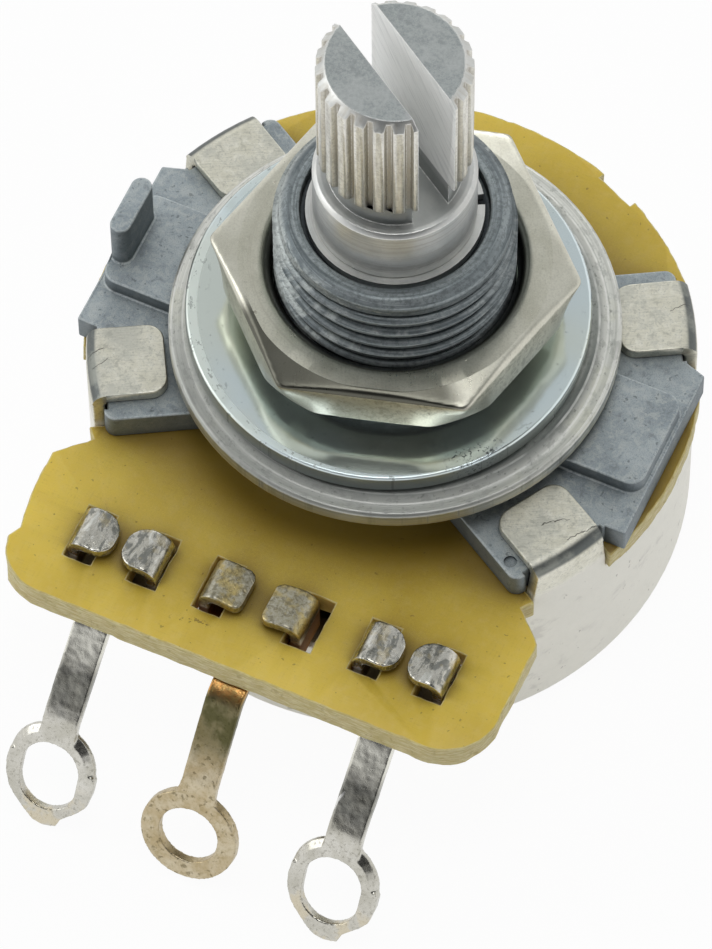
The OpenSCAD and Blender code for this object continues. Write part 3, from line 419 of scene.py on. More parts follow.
def tinned_lug():
    """Dull tin over brass: speckled warm grey, with a painted bright reflection at its root and a painted
    dark reflection below it.
    """
    f = Finish("tinned lug")
    point, (x, y, z) = f.place()
    cloud = f.noise(point, 1.1, 3.0, 0.6)
    grain = f.noise(point, 8.0, 4.0, 0.7)
    fold = f.noise(f.join(x * 2.6, y * 1.1, z * 2.6), 1.0, 4.0, 0.7, 0.8)
    speck = f.pits(6.5, 0.6, 0.68)
    prong = f.step(z, Z_PLATE - 0.1, Z_PLATE + 0.1)
    # Painted reflections: a bright band at the root and a mottled dark band below it
    root = f.step(z, 6.3, 6.8) * f.step(z, 7.9, 7.7)
    dark_reflection = f.step(z, 6.7, 5.9) * f.step(z, 4.7, 5.6) * (0.55 + 0.45 * f.step(cloud, 0.35, 0.6))
    # A little of the brass shows low on the eyelets
    brassy = f.step(z, 2.6, 1.4) * f.step(cloud, 0.48, 0.62)
    scratch = f.mark((5.3, -17.6), (5.55, -17.0), 0.07, 0.1)
    # Painted brown shade where the lug lies under the board
    shade_inside = under_board(f, y, z)
    colour = f.layers(
        f.drift(cloud, (0.55, 0.535, 0.47), (0.71, 0.695, 0.64)),
        (f.step(grain, 0.5, 0.72) * 0.5, (0.32, 0.31, 0.26)),
        (speck * 0.35, (0.20, 0.19, 0.15)),
        (dark_reflection * 0.72, (0.13, 0.135, 0.12)),
        (root * 0.7, (0.93, 0.92, 0.83)),
        (prong * f.step(fold, 0.47, 0.58) * 0.7, (0.12, 0.13, 0.12)),
        (prong * f.step(fold, 0.42, 0.32) * 0.6, (0.90, 0.91, 0.86)),
        (prong * f.step(cloud, 0.52, 0.64) * 0.4, (0.55, 0.45, 0.22)),
        (brassy * 0.5, (0.64, 0.54, 0.33)),
        (scratch * 0.8, (0.92, 0.92, 0.90)),
        (shade_inside * 0.8, (0.16, 0.11, 0.035)))
    rough = 0.14 + 0.08 * cloud + 0.12 * grain + 0.1 * speck + shade_inside * 0.3
    normal = f.bump(grain * 0.5 + cloud * 0.5 - speck * 0.2, 0.018, 0.4)
    return f.shade(colour, rough, 1.0, normal)


def worn_lug():
    """The middle lug: tin worn through to a mottled olive-brown brass, coppery at its root."""
    f = Finish("worn brass lug")
    point, (_, y, z) = f.place()
    cloud = f.noise(point, 1.0, 3.0, 0.65)
    grain = f.noise(point, 6.0, 4.0, 0.7)
    stain = f.noise(point, 4.2, 4.0, 0.75, 0.5)
    speck = f.pits(4.6, 0.58, 0.68, detail=3.0)
    root = f.step(z, 7.3, 7.6) * f.step(z, 7.95, 7.8)
    copper = f.mix(f.step(grain, 0.4, 0.6), (0.60, 0.27, 0.06), (0.50, 0.31, 0.09))
    # Painted dark reflection in the lug's bend, tinted olive
    dark_bend_reflection = f.step(z, 5.0, 6.3) * f.step(z, 7.65, 7.4)
    # Painted brown shade where the lug lies under the board
    shade_inside = under_board(f, y, z)
    # The clinched prongs keep more of their tin
    prong = f.step(z, Z_PLATE - 0.15, Z_PLATE + 0.1)
    tin = f.layers(
        f.mix(f.step(grain, 0.35, 0.7), (0.50, 0.48, 0.39), (0.36, 0.33, 0.23)),
        (f.step(cloud, 0.45, 0.60) * 0.7, (0.52, 0.40, 0.13)),
        (f.step(stain, 0.47, 0.6) * 0.55, (0.13, 0.11, 0.06)))
    colour = f.layers(
        f.drift(cloud, (0.50, 0.40, 0.235), (0.66, 0.58, 0.42)),
        (f.step(grain, 0.45, 0.7) * 0.5, (0.34, 0.27, 0.13)),
        (speck * 0.6, (0.14, 0.11, 0.05)),
        (root * 0.8, copper),
        (dark_bend_reflection * (0.7 + 0.25 * f.step(cloud, 0.4, 0.6)), (0.10, 0.095, 0.035)),
        (shade_inside * 0.9, (0.22, 0.095, 0.02)),
        (prong, tin))
    rough = 0.18 + 0.14 * cloud + 0.14 * grain + 0.4 * shade_inside
    normal = f.bump(grain * 0.6 + cloud * 0.4 - speck * 0.3, 0.024, 0.6)
    return f.shade(colour, rough, 0.95, normal)


def lock_washer_plate():
    """Satin plating of the toothed washer: concentric lines, dark specks, yellowish below its rim."""
    f = Finish("satin zinc plating")
    point, (_, _, z) = f.place()
    r, c, s = f.round_place()
    ring = f.rings(6.0, 0.5, 4.0)
    coarse = f.rings(1.8, 0.7, 2.0)
    cloud = f.noise(point, 0.5, 3.0, 0.6)
    smut = f.noise(f.join(r * 3.0, c * 14.0, s * 14.0), 1.0, 4.0, 0.75)
    speck = f.step(f.noise(f.join(r * 6.0, c * 30.0, s * 30.0), 1.0, 3.0, 0.7), 0.60, 0.70)
    # Painted shade: the trough by the flat washer is dark, the more so towards the board
    trough_shade = f.step(r, 8.45, 7.9)
    front_shade = f.step(s, -0.2, -0.8) * f.step(r, 9.3, 8.9)
    below_rim = f.step(f.up(), 0.5, 0.1) * f.step(z, Z_PAD + 0.7, Z_PAD + 0.45)
    colour = f.layers(
        f.mix(f.step(ring, 0.3, 0.7), (0.46, 0.47, 0.43), (0.77, 0.775, 0.73)),
        (f.step(smut, 0.50, 0.62) * 0.4, (0.24, 0.25, 0.23)),
        (f.step(cloud, 0.5, 0.7) * 0.35, (0.66, 0.66, 0.53)),
        (speck * 0.5, (0.20, 0.21, 0.19)),
        (trough_shade * (0.6 + 0.35 * f.step(coarse, 0.4, 0.6)), (0.15, 0.165, 0.155)),
        (below_rim * 0.5, (0.82, 0.75, 0.52)),
        (f.worn() * f.step(cloud, 0.35, 0.6) * 0.5, (0.90, 0.90, 0.87)),
        (front_shade * 0.5, (0.24, 0.25, 0.24)))
    rough = 0.34 + 0.16 * ring + 0.12 * cloud + 0.15 * speck + trough_shade * 0.14
    normal = f.bump(ring * 0.6 + coarse * 0.5 - speck * 0.3, 0.02, 0.7)
    return f.shade(colour, rough, 1.0, normal)


def mirror_washer():
    """Bright plating of the flat washer, nearly a mirror, with a thin play of yellow and green."""
    f = Finish("bright plating")
    point, (x, y, _) = f.place()
    r, c, s = f.round_place()
    cloud = f.noise(point, 0.35, 2.0, 0.5, 0.6)
    tint = f.noise(point, 0.22, 1.0, 0.5, 0.8)
    fine = f.rings(14.0, 0.7, 3.0)
    dust = f.pits(3.4, 0.70, 0.74)
    flecks = f.step(f.noise(f.join(r * 4.0, c * 16.0, s * 16.0), 1.0, 3.0, 0.7), 0.60, 0.66)
    near_rim = f.step(r, 7.2, 7.75) * flecks
    # One rubbed patch at the rim by the right-hand wing
    x, y = x - 5.6, y + 4.9
    patch = f.step(f.maths("SQRT", x * x + y * y), 1.5, 0.6)
    rub = patch * f.step(f.noise(point, 7.0, 3.0, 0.7), 0.56, 0.60) * f.step(r, 7.0, 7.3)
    rim = f.step(r, 7.72, 7.82)
    colour = f.layers(
        f.mix(f.step(tint, 0.35, 0.65), (0.75, 0.85, 0.87), (0.78, 0.845, 0.79)),
        (f.step(cloud, 0.5, 0.72) * 0.5, (0.665, 0.745, 0.70)),
        (dust * 0.35, (0.25, 0.27, 0.26)),
        (f.most(near_rim * 0.35, rub * 0.9), (0.05, 0.055, 0.055)),
        (rim * f.step(near_rim + cloud * 0.6, 0.2, 0.6) * 0.4, (0.30, 0.33, 0.32)),
        # Painted shade on the rim's upright side
        (rim * f.step(f.up(), 0.5, 0.2) * 0.75, (0.14, 0.155, 0.15)))
    rough = 0.085 + 0.06 * cloud + 0.04 * fine + 0.2 * rub + 0.1 * near_rim + 0.24 * rim
    normal = f.bump(fine * 0.25 + cloud * 0.75, 0.012, 0.35)
    return f.shade(colour, rough, 0.93, normal)


def nut_plate():
    """Warm nickel of the nut: turned rings on its face, mottled flats, small dark dents."""
    f = Finish("warm nickel")
    point, (x, _, z) = f.place()
    r, _, s = f.round_place()
    ring = f.rings(7.0, 0.5, 4.0)
    brushed = f.brushing(118, 12.0, 0.8)
    cloud = f.noise(point, 0.6, 3.0, 0.6)
    mottled = f.noise(point, 3.6, 4.0, 0.75, 0.4)
    grain = f.noise(point, 12.0, 3.0, 0.7)
    dent = f.pits(3.0, 0.70, 0.73) * f.step(cloud, 0.45, 0.6)
    flats = f.step(abs(f.up()), 0.4, 0.15)
    # Painted shade in the nut's mouth
    mouth_shade = f.step(r, 5.2, 4.95)
    # Painted dark reflection along the rolled edge on the board's side
    edge = Z_NUT + NUT_TALL - NUT_ROLL
    dull = f.worn() * f.step(s, -0.64, -0.76) * f.step(z, edge - 0.205, edge - 0.005)
    colour = f.layers(
        f.drift(cloud, (0.60, 0.59, 0.49), (0.70, 0.69, 0.59)),
        (f.step(brushed, 0.5, 0.75) * 0.25, (0.50, 0.47, 0.39)),
        (f.step(ring, 0.55, 0.75) * f.step(r, 6.2, 5.4) * 0.35, (0.42, 0.39, 0.32)),
        (dent * 0.6, (0.16, 0.14, 0.11)),
        (f.step(grain, 0.64, 0.76) * 0.3, (0.34, 0.32, 0.26)),
        # Painted shade on the flats, but for those on the +X side
        (flats * f.step(x, 5.0, 1.0) * 0.5, (0.27, 0.27, 0.19)),
        (f.step(grain, 0.42, 0.62) * 0.22, (0.33, 0.33, 0.27)),
        (mouth_shade * 0.9, (0.03, 0.03, 0.03)),
        (flats * f.step(mottled, 0.46, 0.6) * 0.5, (0.24, 0.23, 0.17)),
        (f.step(mottled, 0.56, 0.7) * 0.25, (0.28, 0.27, 0.21)),
        (f.worn() * 0.12, (0.86, 0.84, 0.77)),
        (dull * 0.9, (0.07, 0.07, 0.055)))
    rough = 0.17 + 0.08 * cloud + 0.08 * brushed + 0.1 * grain + 0.15 * dent + 0.12 * flats
    relief = ring * f.step(r, 6.3, 5.5) * 0.5 + brushed * 0.3 + grain * 0.15 - dent
    return f.shade(colour, rough, 1.0, f.bump(relief, 0.014, 0.5))


def shaft_metal():
    """Nickel over a turned and knurled shaft: matt mottled end, streaked walls, milled slot."""
    f = Finish("shaft nickel")
    point, (x, y, z) = f.place()
    r, c, s = f.round_place()
    turn = math.radians(SLOT_TURN)
    across = y * math.cos(turn) - x * math.sin(turn)
    grain = f.noise(point, 7.0, 4.0, 0.7)
    fine = f.noise(point, 22.0, 2.0, 0.6)
    cloud = f.noise(point, 0.9, 3.0, 0.6)
    down = f.noise(f.join(c * 16.0, s * 16.0, z * 0.8), 1.0, 3.0, 0.6)
    ring = f.rings(8.0, 0.5, 3.0)
    upright = f.step(f.up(), 0.7, 0.3)
    spline = f.step(z, Z_SPLINE - 0.1, Z_SPLINE + 0.1) * f.step(r, 2.6, 2.7)
    # Painted shade at the roots and the foot of the teeth
    root = f.step(r, 2.93, 2.76) * spline * f.step(f.up(), 0.8, 0.4)
    foot_shade = spline * f.step(z, Z_SPLINE + 0.45, Z_SPLINE + 0.1)
    collar = f.step(z, Z_NECK + 0.1, Z_NECK - 0.1) * f.step(r, 3.0, 3.1)
    # Painted shade in the neck below the teeth
    neck_shade = f.step(z, Z_SPLINE + 0.1, Z_SPLINE - 0.05) * f.step(z, Z_NECK - 0.1, Z_NECK + 0.1)
    neck_shade = neck_shade * f.step(r, 2.9, 2.8)
    end = f.step(z, Z_END - 0.3, Z_END - 0.1) * f.step(f.up(), 0.8, 0.95)
    # The slot's walls and floor are painted near white and less metallic, a painted highlight, with
    # slanted milling marks
    slot = f.step(abs(across), SLOT_HALF + 0.02, SLOT_HALF - 0.02)
    slot = slot * f.step(z, Z_SPLINE - 0.5, Z_SPLINE - 0.3)
    milling = f.noise(f.join(x * 0.8, y * 0.8, (z + x * 0.7 - y * 0.4) * 9.0), 1.0, 3.0, 0.6)
    colour = f.layers(
        f.drift(cloud, (0.60, 0.615, 0.60), (0.71, 0.715, 0.69)),
        (f.step(grain, 0.5, 0.8) * 0.35, (0.48, 0.51, 0.51)),
        # Painted highlight on the teeth's upright faces
        (spline * upright * 0.8, (0.90, 0.885, 0.81)),
        (root * 0.75, (0.36, 0.33, 0.28)),
        (spline * f.step(down, 0.42, 0.66) * 0.5, (0.50, 0.48, 0.42)),
        (spline * upright * f.step(grain, 0.42, 0.62) * 0.35, (0.40, 0.385, 0.34)),
        (foot_shade * 0.6, (0.34, 0.335, 0.30)),
        (collar * f.step(ring, 0.45, 0.7) * 0.45, (0.45, 0.43, 0.40)),
        (slot * 0.9, (0.97, 0.975, 0.96)),
        (slot * f.step(milling, 0.45, 0.7) * 0.35, (0.46, 0.48, 0.48)),
        (end * (0.75 + 0.25 * f.step(fine, 0.4, 0.7)), (0.345, 0.375, 0.375)),
        (end * f.step(grain, 0.38, 0.66) * 0.5, (0.22, 0.245, 0.245)),
        (end * f.step(cloud + fine * 0.3, 0.62, 0.8) * 0.5, (0.46, 0.48, 0.475)),
        (neck_shade * 0.75, (0.17, 0.185, 0.185)),
        (f.worn() * f.step(grain, 0.4, 0.6) * 0.5, (0.84, 0.84, 0.81)))
    rough = 0.30 + 0.12 * grain + 0.14 * end + 0.06 * down + slot * 0.1
    relief = fine * 0.25 + grain * 0.35 + slot * milling * 0.5 + collar * ring * 0.35
    return f.shade(colour, rough, 1.0 - slot * 0.7, f.bump(relief, 0.02, 0.6))


def phenolic():
    """Black moulded phenolic of the rotor, with faint swirls of resin."""
    f = Finish("black phenolic")
    point, _ = f.place()
    swirl = f.noise(point, 0.5, 4.0, 0.6, 1.5)
    grain = f.noise(point, 12.0, 3.0, 0.7)
    colour = f.mix(f.step(swirl, 0.4, 0.7), (0.018, 0.016, 0.014), (0.045, 0.038, 0.032))
    return f.shade(colour, 0.36 + 0.2 * grain, 0.0, f.bump(grain, 0.02, 0.5))


def bronze():
    """Rolled spring bronze with its grain and heat tint."""
    f = Finish("spring bronze")
    point, _ = f.place()
    rolled = f.brushing(90, 14.0, 0.8)
    cloud = f.noise(point, 0.8, 3.0, 0.6)
    colour = f.layers(f.drift(cloud, (0.58, 0.36, 0.15), (0.70, 0.50, 0.25)),
                      (f.step(rolled, 0.5, 0.75) * 0.4, (0.42, 0.27, 0.11)))
    return f.shade(colour, 0.28 + 0.16 * rolled, 1.0, f.bump(rolled, 0.012, 0.5))


def printed(name, dark, light, gloss, metallic):
    """A printed track or contact: a thick matt ink with a fine screen grain."""
    f = Finish(name)
    point, _ = f.place()
    screen = f.noise(point, 10.0, 3.0, 0.7)
    cloud = f.noise(point, 1.2, 3.0, 0.6)
    colour = f.mix(f.step(cloud + screen * 0.4, 0.5, 0.9), dark, light)
    return f.shade(colour, gloss + 0.15 * screen, metallic, f.bump(screen, 0.015, 0.6))


def new_piece(name, mesh):
    piece = bpy.data.objects.new(name, mesh)
    scene.collection.objects.link(piece)
    return piece


def evaluated_mesh(piece):
    """The piece's mesh with its modifiers applied; they are removed."""
    graph = bpy.context.evaluated_depsgraph_get()
    mesh = bpy.data.meshes.new_from_object(piece.evaluated_get(graph))
    piece.modifiers.clear()
    piece.data = mesh
    return mesh


def smooth_shaded(mesh):
    mesh.polygons.foreach_set("use_smooth", [True] * len(mesh.polygons))


def merged_copy(node):
    """A CAD node's mesh as one clean surface, with its flat faces whole."""
    bm = bmesh.new()
    bm.from_mesh(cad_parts[node].data)
    bmesh.ops.remove_doubles(bm, verts=bm.verts[:], dist=2e-6)
    bmesh.ops.dissolve_limit(bm, angle_limit=math.radians(0.3), verts=bm.verts[:], edges=bm.edges[:])
    bmesh.ops.recalc_face_normals(bm, faces=bm.faces[:])
    return bm


def wear_edges(bm, width, steps, angle):
    """Rounds the sharp edges by width in millimetres and marks the new faces as worn.

    Edges beside a strip too narrow to take the rounding stay sharp."""
    layer = bm.faces.layers.float.new("worn")
    before = BVHTree.FromBMesh(bm)
    sharp = [e for e in bm.edges if len(e.link_faces) == 2
             and e.calc_face_angle(0.0) > math.radians(angle)
             and all(f.calc_area() > 1.9 * width * MM * e.calc_length() for f in e.link_faces)]
    made = bmesh.ops.bevel(bm, geom=sharp, offset=width * MM, offset_type="OFFSET", segments=steps,
                           profile=0.55, affect="EDGES", clamp_overlap=False)
    for face in made["faces"]:
        face[layer] = 1.0
    # Where short edges crossed, points go back to the sharp shape's surface
    for v in {v for face in made["faces"] for v in face.verts}:
        near, _, _, away = before.find_nearest(v.co)
        if near is not None and away > width * MM * 0.5:
            v.co = near


# Weights of a broad face and of a worn one in the shading, as the modifier reads them
BROAD_FACE, WORN_FACE = 16384, -16384


def finish_mesh(bm, name, crease=48.0):
    """Turns the surface into a smooth-shaded piece whose flat faces stay flat.

    Edges sharper than crease degrees stay sharp, but for those within the rounding."""
    mesh = bpy.data.meshes.new(name)
    bmesh.ops.dissolve_degenerate(bm, dist=1e-7, edges=bm.edges[:])
    bmesh.ops.triangulate(bm, faces=[f for f in bm.faces if len(f.verts) > 4])
    # Shading follows the broad faces, and the rounded ones between them give way
    worn = bm.faces.layers.float.get("worn")
    strength = bm.faces.layers.int.new("__mod_weightednormals_faceweight")
    for face in bm.faces:
        face[strength] = WORN_FACE if face[worn] > 0.5 else BROAD_FACE
    for edge in bm.edges:
        if len(edge.link_faces) == 2 and edge.calc_face_angle(0.0) > math.radians(crease):
            edge.smooth = all(f[worn] > 0.5 for f in edge.link_faces)
    bm.to_mesh(mesh)
    bm.free()
    smooth_shaded(mesh)
    piece = new_piece(name, mesh)
    weigh = piece.modifiers.new("flat faces", "WEIGHTED_NORMAL")
    weigh.mode, weigh.weight = "FACE_AREA_WITH_ANGLE", 80
    weigh.use_face_influence = weigh.keep_sharp = True
    evaluated_mesh(piece)
    return piece


def dress(piece, material, body, slot, *nodes):
    """Gives a finished piece its material and body, and hides the nodes it stands for; its slot is not
    used.
    """
    piece.data.materials.clear()
    piece.data.materials.append(material)
    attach(piece, body)
    if nodes:
        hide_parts(*nodes)


def thread_tree():
    """Geometry Nodes tree of a screw thread: a ridge wound along a helix."""
    tree = bpy.data.node_groups.new("screw thread", "GeometryNodeTree")
    face = tree.interface
    face.new_socket("Geometry", in_out="INPUT", socket_type="NodeSocketGeometry")
    for name, value in (("Pitch", PITCH * MM), ("Turns", 12.0), ("Root Radius", 4.2 * MM),
                        ("Depth", 0.53 * MM), ("Crest", 0.16 * MM), ("Base", 0.001)):
        face.new_socket(name, in_out="INPUT", socket_type="NodeSocketFloat").default_value = value
    face.new_socket("Steps", in_out="INPUT", socket_type="NodeSocketInt").default_value = 120
    face.new_socket("Material", in_out="INPUT", socket_type="NodeSocketMaterial")
    face.new_socket("Geometry", in_out="OUTPUT", socket_type="NodeSocketGeometry")
    kit = Finish("", tree)
    given = {s.name: Value(kit, s) for s in tree.nodes.new("NodeGroupInput").outputs if s.name}
    middle = given["Root Radius"] + given["Depth"] / 2
    helix = kit.add("GeometryNodeCurveSpiral", None, {
        "Resolution": given["Steps"], "Rotations": given["Turns"], "Start Radius": middle,
        "End Radius": middle, "Height": given["Turns"] * given["Pitch"], "Reverse": False})
    upright = kit.add("GeometryNodeSetCurveNormal", {"mode": "Z_UP"}, {"Curve": helix})
    ridge = kit.add("GeometryNodeCurvePrimitiveQuadrilateral", {"mode": "TRAPEZOID"}, {
        "Height": given["Depth"], "Bottom Width": given["Base"], "Top Width": given["Crest"],
        "Offset": 0.0})
    wound = kit.add("GeometryNodeCurveToMesh", None, {
        "Curve": upright, "Profile Curve": ridge, "Fill Caps": True})
    real = kit.add("GeometryNodeRealizeInstances", None, {"Geometry": wound})
    painted = kit.add("GeometryNodeSetMaterial", None, {"Geometry": real, "Material": given["Material"]})
    out = tree.nodes.new("NodeGroupOutput")
    tree.links.new(painted.socket, out.inputs[0])
    return tree


def wind_thread(name, tree, material, **sizes):
    """A piece made by the thread tree, with its sizes in metres."""
    piece = new_piece(name, bpy.data.meshes.new(name))
    made = piece.modifiers.new("thread", "NODES")
    made.node_group = tree
    for item in tree.interface.items_tree:
        if item.in_out == "INPUT" and item.name.replace(" ", "_") in sizes:
            made[item.identifier] = sizes[item.name.replace(" ", "_")]
        if item.in_out == "INPUT" and item.name == "Material":
            made[item.identifier] = material
    evaluated_mesh(piece)
    return piece


def make_plate():
    """Cast plate: rounded edges, and a bushing turned down to the thread's root."""
    bm = merged_copy("bushing_plate")
    for v in bm.verts:
        r = math.hypot(v.co.x, v.co.y) / MM
        # Only the points on the plain wall over the crests are drawn in
        if 4.6 < r < 4.76 and v.co.z > (Z_PAD - 0.05) * MM:
            v.co.x *= ROOT_R / r
            v.co.y *= ROOT_R / r
    wear_edges(bm, 0.09, 3, 35.0)
    return finish_mesh(bm, "cast_plate")


def make_thread(material):
    """Thread of the bushing: it runs in from the pad and is cut back by the chamfer at its mouth."""
    top, bottom = Z_MOUTH - 0.02, Z_PAD + 0.25
    sunk, run_in, slope = 0.06, 0.5, 1.2
    turns = (top - bottom) / PITCH
    piece = wind_thread("bushing_thread", thread_tree(), material, Pitch=PITCH * MM, Turns=turns,
                        Root_Radius=(ROOT_R - sunk) * MM, Depth=(CREST_R - ROOT_R + sunk) * MM,
                        Crest=0.14 * MM, Base=0.74 * MM, Steps=128)
    mesh = piece.data
    for v in mesh.vertices:
        v.co.z += bottom * MM
        r = math.hypot(v.co.x, v.co.y) / MM
        z = v.co.z / MM
        limit = min(CREST_R, CREST_R - CHAMFER + (Z_MOUTH - z) + 0.03)
        if z - bottom < run_in:
            limit = min(limit, ROOT_R + (z - bottom) * slope)
        if r > limit:
            v.co.x *= limit / r
            v.co.y *= limit / r
        v.co.z = min(max(v.co.z, (Z_PAD + 0.01) * MM), (Z_MOUTH - 0.01) * MM)
    smooth_shaded(mesh)
    return piece


# Unevenness of the board's sheared edge: how fine, where the pattern is taken, how far it goes
BOARD_WAVES = ((1.7, Vector((9, 3, 1)), 0.045), (5.1, Vector((2, 7, 5)), 0.025))


def make_board():
    """Laminate board whose sheared edge is rough and flares a little towards its back."""
    bm = merged_copy("contact_board")
    walls = [e for e in bm.edges if abs(e.verts[0].co.z - e.verts[1].co.z) < 1e-6
             and e.calc_length() > 0.5 * MM and any(abs(f.normal.z) < 0.5 for f in e.link_faces)]
    for e in walls:
        cuts = int(e.calc_length() / (0.3 * MM))
        if cuts:
            bmesh.ops.subdivide_edges(bm, edges=[e], cuts=cuts)
    wear_edges(bm, 0.06, 2, 40.0)
    bmesh.ops.triangulate(bm, faces=bm.faces[:])
    for v in bm.verts:
        p = v.co / MM
        # The hole for the bushing's spigot stays true
        if math.hypot(p.x, p.y) < 5.5:
            continue
        shake = Vector((0, 0, 0))
        for fine, apart, reach in BOARD_WAVES:
            shake += Vector((noise.noise(p * fine), noise.noise(p * fine + apart), 0)) * reach
        if p.y < FRONT_STRIP and p.z < Z_BOARD + 0.15:
            shake.y -= 0.14
        v.co += shake * MM
    return finish_mesh(bm, "laminate_board")


def pressed(node, name, grain=0.05, soften=4, dents=0.02):
    """A small sheet-metal node as a fine, evenly divided surface with worn, slightly uneven edges."""
    mesh = bpy.data.meshes.new(name)
    bm = merged_copy(node)
    bmesh.ops.triangulate(bm, faces=bm.faces[:])
    # The voxels are counted in millimetres, because very small ones are slow
    bmesh.ops.scale(bm, vec=(1 / MM,) * 3, verts=bm.verts[:])
    bm.to_mesh(mesh)
    bm.free()
    piece = new_piece(name, mesh)
    divide = piece.modifiers.new("grain", "REMESH")
    divide.mode, divide.voxel_size, divide.adaptivity = "VOXEL", grain, 0.0
    ease = piece.modifiers.new("ease", "SMOOTH")
    ease.factor, ease.iterations = 0.5, soften
    mesh = evaluated_mesh(piece)
    outward = [v.normal.copy() for v in mesh.vertices]
    for v, normal in zip(mesh.vertices, outward):
        push = (noise.noise(v.co * 1.3) * 0.7 + noise.noise(v.co * 4.0) * 0.3) * dents
        v.co += normal * push
    mesh.transform(Matrix.Scale(MM, 4))
    smooth_shaded(mesh)
    return piece


def rounded(node, name, width, steps, angle):
    """A CAD node with its sharp edges rounded."""
    bm = merged_copy(node)
    wear_edges(bm, width, steps, angle)
    return finish_mesh(bm, name)


def soft_min(a, b, k=0.035):
    """The smaller of two lengths, with a rounded passage from one to the other."""
    low = min(a, b)
    return low - k * math.log(math.exp((low - a) / k) + math.exp((low - b) / k))


def quarter(radius, angles):
    """Distances in from the flats and off the face along a corner's rounding, which starts
    on the face at 0 degrees."""
    return [(radius * (1 - math.sin(math.radians(a))), radius * (1 - math.cos(math.radians(a))))
            for a in angles]


def make_nut():
    """Hexagon nut with a wide rolled bevel along its upper edges and corners cut back by turning."""
    # Rings from the bore round the foot, the flats and the face: a round one has its radius,
    # its height and 0, and one that follows the flats its distance in from them, its height and 1
    rings = [(4.79, 1.55, 0), (4.79, 0.36, 0), (5.08, 0.02, 0), (5.3, 0.0, 0), (0.5, 0.0, 1)]
    rings += [(inset, rise, 1) for inset, rise in quarter(NUT_FOOT, (0, 30, 60, 90))]
    rings += [(0.0, NUT_TALL - NUT_ROLL, 1)]
    roll = [(inset, NUT_TALL - drop, 1) for inset, drop in quarter(NUT_ROLL, range(81, -1, -9))]
    first_worn, last_worn = len(rings), len(rings) + len(roll) - 2
    rings += roll
    rings += [(NUT_ROLL + inset, NUT_TALL, 1) for inset in (0.02, 0.06, 0.3)]
    rings += [(5.4, NUT_TALL, 0), (5.27, NUT_TALL - 0.012, 0), (5.19, NUT_TALL - 0.05, 0)]
    steps = 432
    bm = bmesh.new()
    worn = bm.faces.layers.float.new("worn")
    rows = []
    for size, z, flats in rings:
        row = []
        for i in range(steps):
            turn = math.radians(i * 360 / steps)
            r = size
            if flats:
                side = (turn + math.pi / 6) % (math.pi / 3) - math.pi / 6
                r = soft_min((NUT_HALF - size) / math.cos(side), NUT_CORNER, 0.03)
                # The cones that cut the corners back, over and under
                r = soft_min(r, 6.12 + (NUT_TALL - z) * 5.5 if z > 1.0 else 6.32 + z * 2.9)
            spot = turn + math.radians(NUT_FACING)
            row.append(bm.verts.new((r * math.cos(spot) * MM, r * math.sin(spot) * MM, (Z_NUT + z) * MM)))
        rows.append(row)
    for n, row in enumerate(rows):
        after = rows[(n + 1) % len(rows)]
        for i in range(steps):
            j = (i + 1) % steps
            face = bm.faces.new((row[i], row[j], after[j], after[i]))
            face[worn] = 1.0 if first_worn <= n <= last_worn else 0.0
    bmesh.ops.recalc_face_normals(bm, faces=bm.faces[:])
    return finish_mesh(bm, "plated_nut", 180.0)


zinc, bushing_zinc, can_steel = cast_zinc(), turned_bushing(), drawn_can()
yellow, tin, brass = laminate(), tinned_lug(), worn_lug()
satin, mirror, nickel, steel = lock_washer_plate(), mirror_washer(), nut_plate(), shaft_metal()
black, springy = phenolic(), bronze()
carbon = printed("carbon ink", (0.012, 0.012, 0.012), (0.035, 0.034, 0.032), 0.5, 0.0)
silver = printed("silver ink", (0.42, 0.42, 0.40), (0.62, 0.62, 0.60), 0.4, 0.8)

# The casting is one piece, and the bushing's part of it is turned
plate = make_plate()
plate.data.materials.append(zinc)
plate.data.materials.append(bushing_zinc)
for face in plate.data.polygons:
    if all(math.hypot(*plate.data.vertices[i].co.xy) < (CREST_R + 0.05) * MM for i in face.vertices):
        face.material_index = 1
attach(plate, "housing")
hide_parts("bushing_plate")

dress(make_thread(bushing_zinc), bushing_zinc, "housing", "zinc_casting")
dress(make_board(), yellow, "housing", "laminate", "contact_board")
dress(rounded("can", "drawn_can", 0.07, 3, 35.0), can_steel, "housing", "can_steel", "can")
dress(pressed("terminal_left", "left_lug"), tin, "housing", "tinned_brass", "terminal_left")
dress(pressed("terminal_right", "right_lug"), tin, "housing", "tinned_brass", "terminal_right")
dress(pressed("terminal_middle", "middle_lug"), brass, "housing", "worn_brass", "terminal_middle")
dress(rounded("lock_washer", "toothed_washer", 0.045, 2, 20.0), satin,
      "housing", "plated_spring_steel", "lock_washer")
dress(rounded("flat_washer", "bright_washer", 0.14, 3, 35.0), mirror,
      "housing", "bright_nickel", "flat_washer")
dress(make_nut(), nickel, "housing", "nut_plate", "hex_nut")
dress(rounded("shaft", "splined_shaft", 0.03, 2, 35.0), steel, "spindle", "shaft_metal", "shaft")

# The hidden pieces keep the solids' own meshes
for node, material in (("resistive_track", carbon), ("collector_ring", silver),
                       ("end_contact_left", silver), ("end_contact_right", silver),
                       ("retaining_ring", steel), ("thrust_washer", springy),
                       ("spring_washer", springy), ("rotor", black), ("wiper", springy)):
    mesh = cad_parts[node].data
    mesh.materials.clear()
    mesh.materials.append(material)


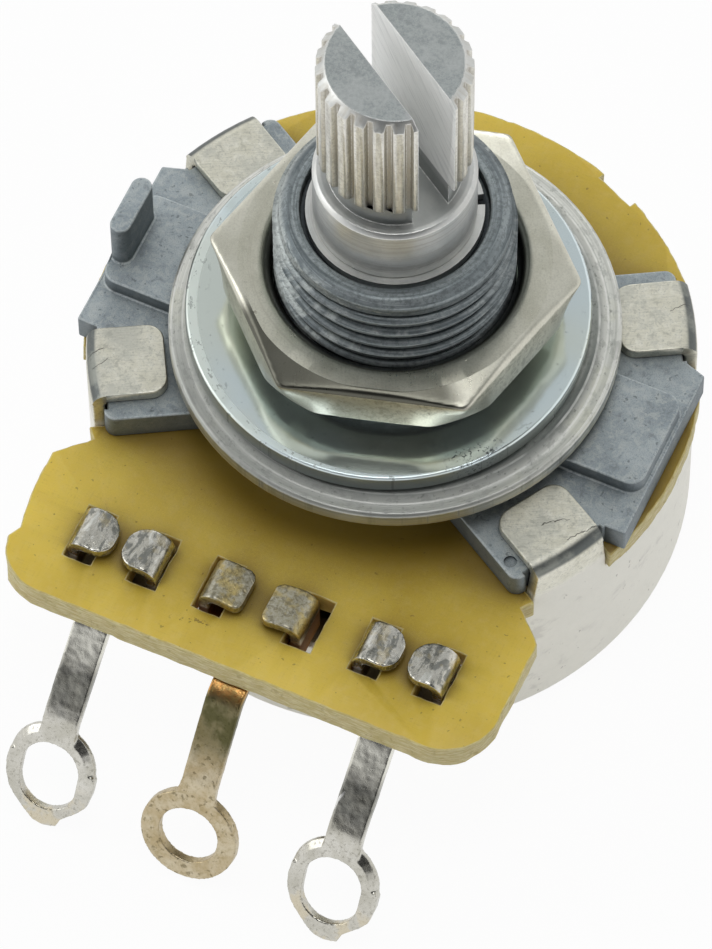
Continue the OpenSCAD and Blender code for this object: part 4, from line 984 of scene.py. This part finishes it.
def make_floor():
    """Pale floor: white to the camera and in reflections, with the object's soft shadow."""
    bm = bmesh.new()
    bmesh.ops.create_grid(bm, x_segments=1, y_segments=1, size=0.6)
    mesh = bpy.data.meshes.new("floor")
    bm.to_mesh(mesh)
    bm.free()
    floor = new_piece("floor", mesh)
    f = Finish("floor")
    lit = f.add("ShaderNodeBsdfDiffuse", None, {"Color": (0.86, 0.86, 0.86)})
    white = f.add("ShaderNodeEmission", None, {"Color": (1.0, 1.0, 1.0), "Strength": 1.0})
    path = f.add("ShaderNodeLightPath")
    rays = path.socket.node.outputs
    share = Value(f, rays["Is Camera Ray"]) * 0.95 + Value(f, rays["Is Glossy Ray"]) * 0.75
    both = f.add("ShaderNodeMixShader", None, {0: share, 1: lit, 2: white})
    f.add("ShaderNodeOutputMaterial", None, {"Surface": both})
    mesh.materials.append(f.material)


def light_room():
    """White surroundings that darken overhead and round the camera, as in a small light tent."""
    world = bpy.data.worlds.new("light tent")
    scene.world = world
    world.use_nodes = True
    f = Finish("", world.node_tree)
    x, y, z = f.parts(f.add("ShaderNodeTexCoord", output=0))
    back = camera_axes()[2]
    toward = x * back.x + y * back.y + z * back.z
    # The dark opening round the camera fades out between 31 and 50 degrees from it
    opening = f.step(toward, math.cos(math.radians(50)), math.cos(math.radians(31)))
    overhead = f.step(z, 0.45, 0.85)
    level = f.layers(f.mix(overhead, (0.90, 0.90, 0.90), (0.55, 0.56, 0.565)),
                     (opening * 0.97, (0.01, 0.01, 0.012)))
    path = f.add("ShaderNodeLightPath")
    level = f.mix(Value(f, path.socket.node.outputs["Is Camera Ray"]), level, (1.0, 1.0, 1.0))
    sky = f.add("ShaderNodeBackground", None, {"Color": level, "Strength": 1.0})
    f.add("ShaderNodeOutputWorld", None, {"Surface": sky})


def add_lamp(name, azimuth, elevation, size, power, distance=0.45):
    """A round area lamp that faces the object; size and distance in metres, power in watts."""
    away = direction(azimuth, elevation)
    data = bpy.data.lights.new(name, "AREA")
    data.shape, data.size, data.energy = "DISK", size, power
    lamp = bpy.data.objects.new(name, data)
    lamp.location = away * distance
    lamp.rotation_mode = "QUATERNION"
    lamp.rotation_quaternion = away.to_track_quat("Z", "Y")
    scene.collection.objects.link(lamp)


make_floor()
light_room()
add_lamp("key", 195, 26, 0.2, 0.18)
add_lamp("top", 25, 86, 0.22, 0.45)
add_lamp("side", 285, 30, 0.3, 0.30)
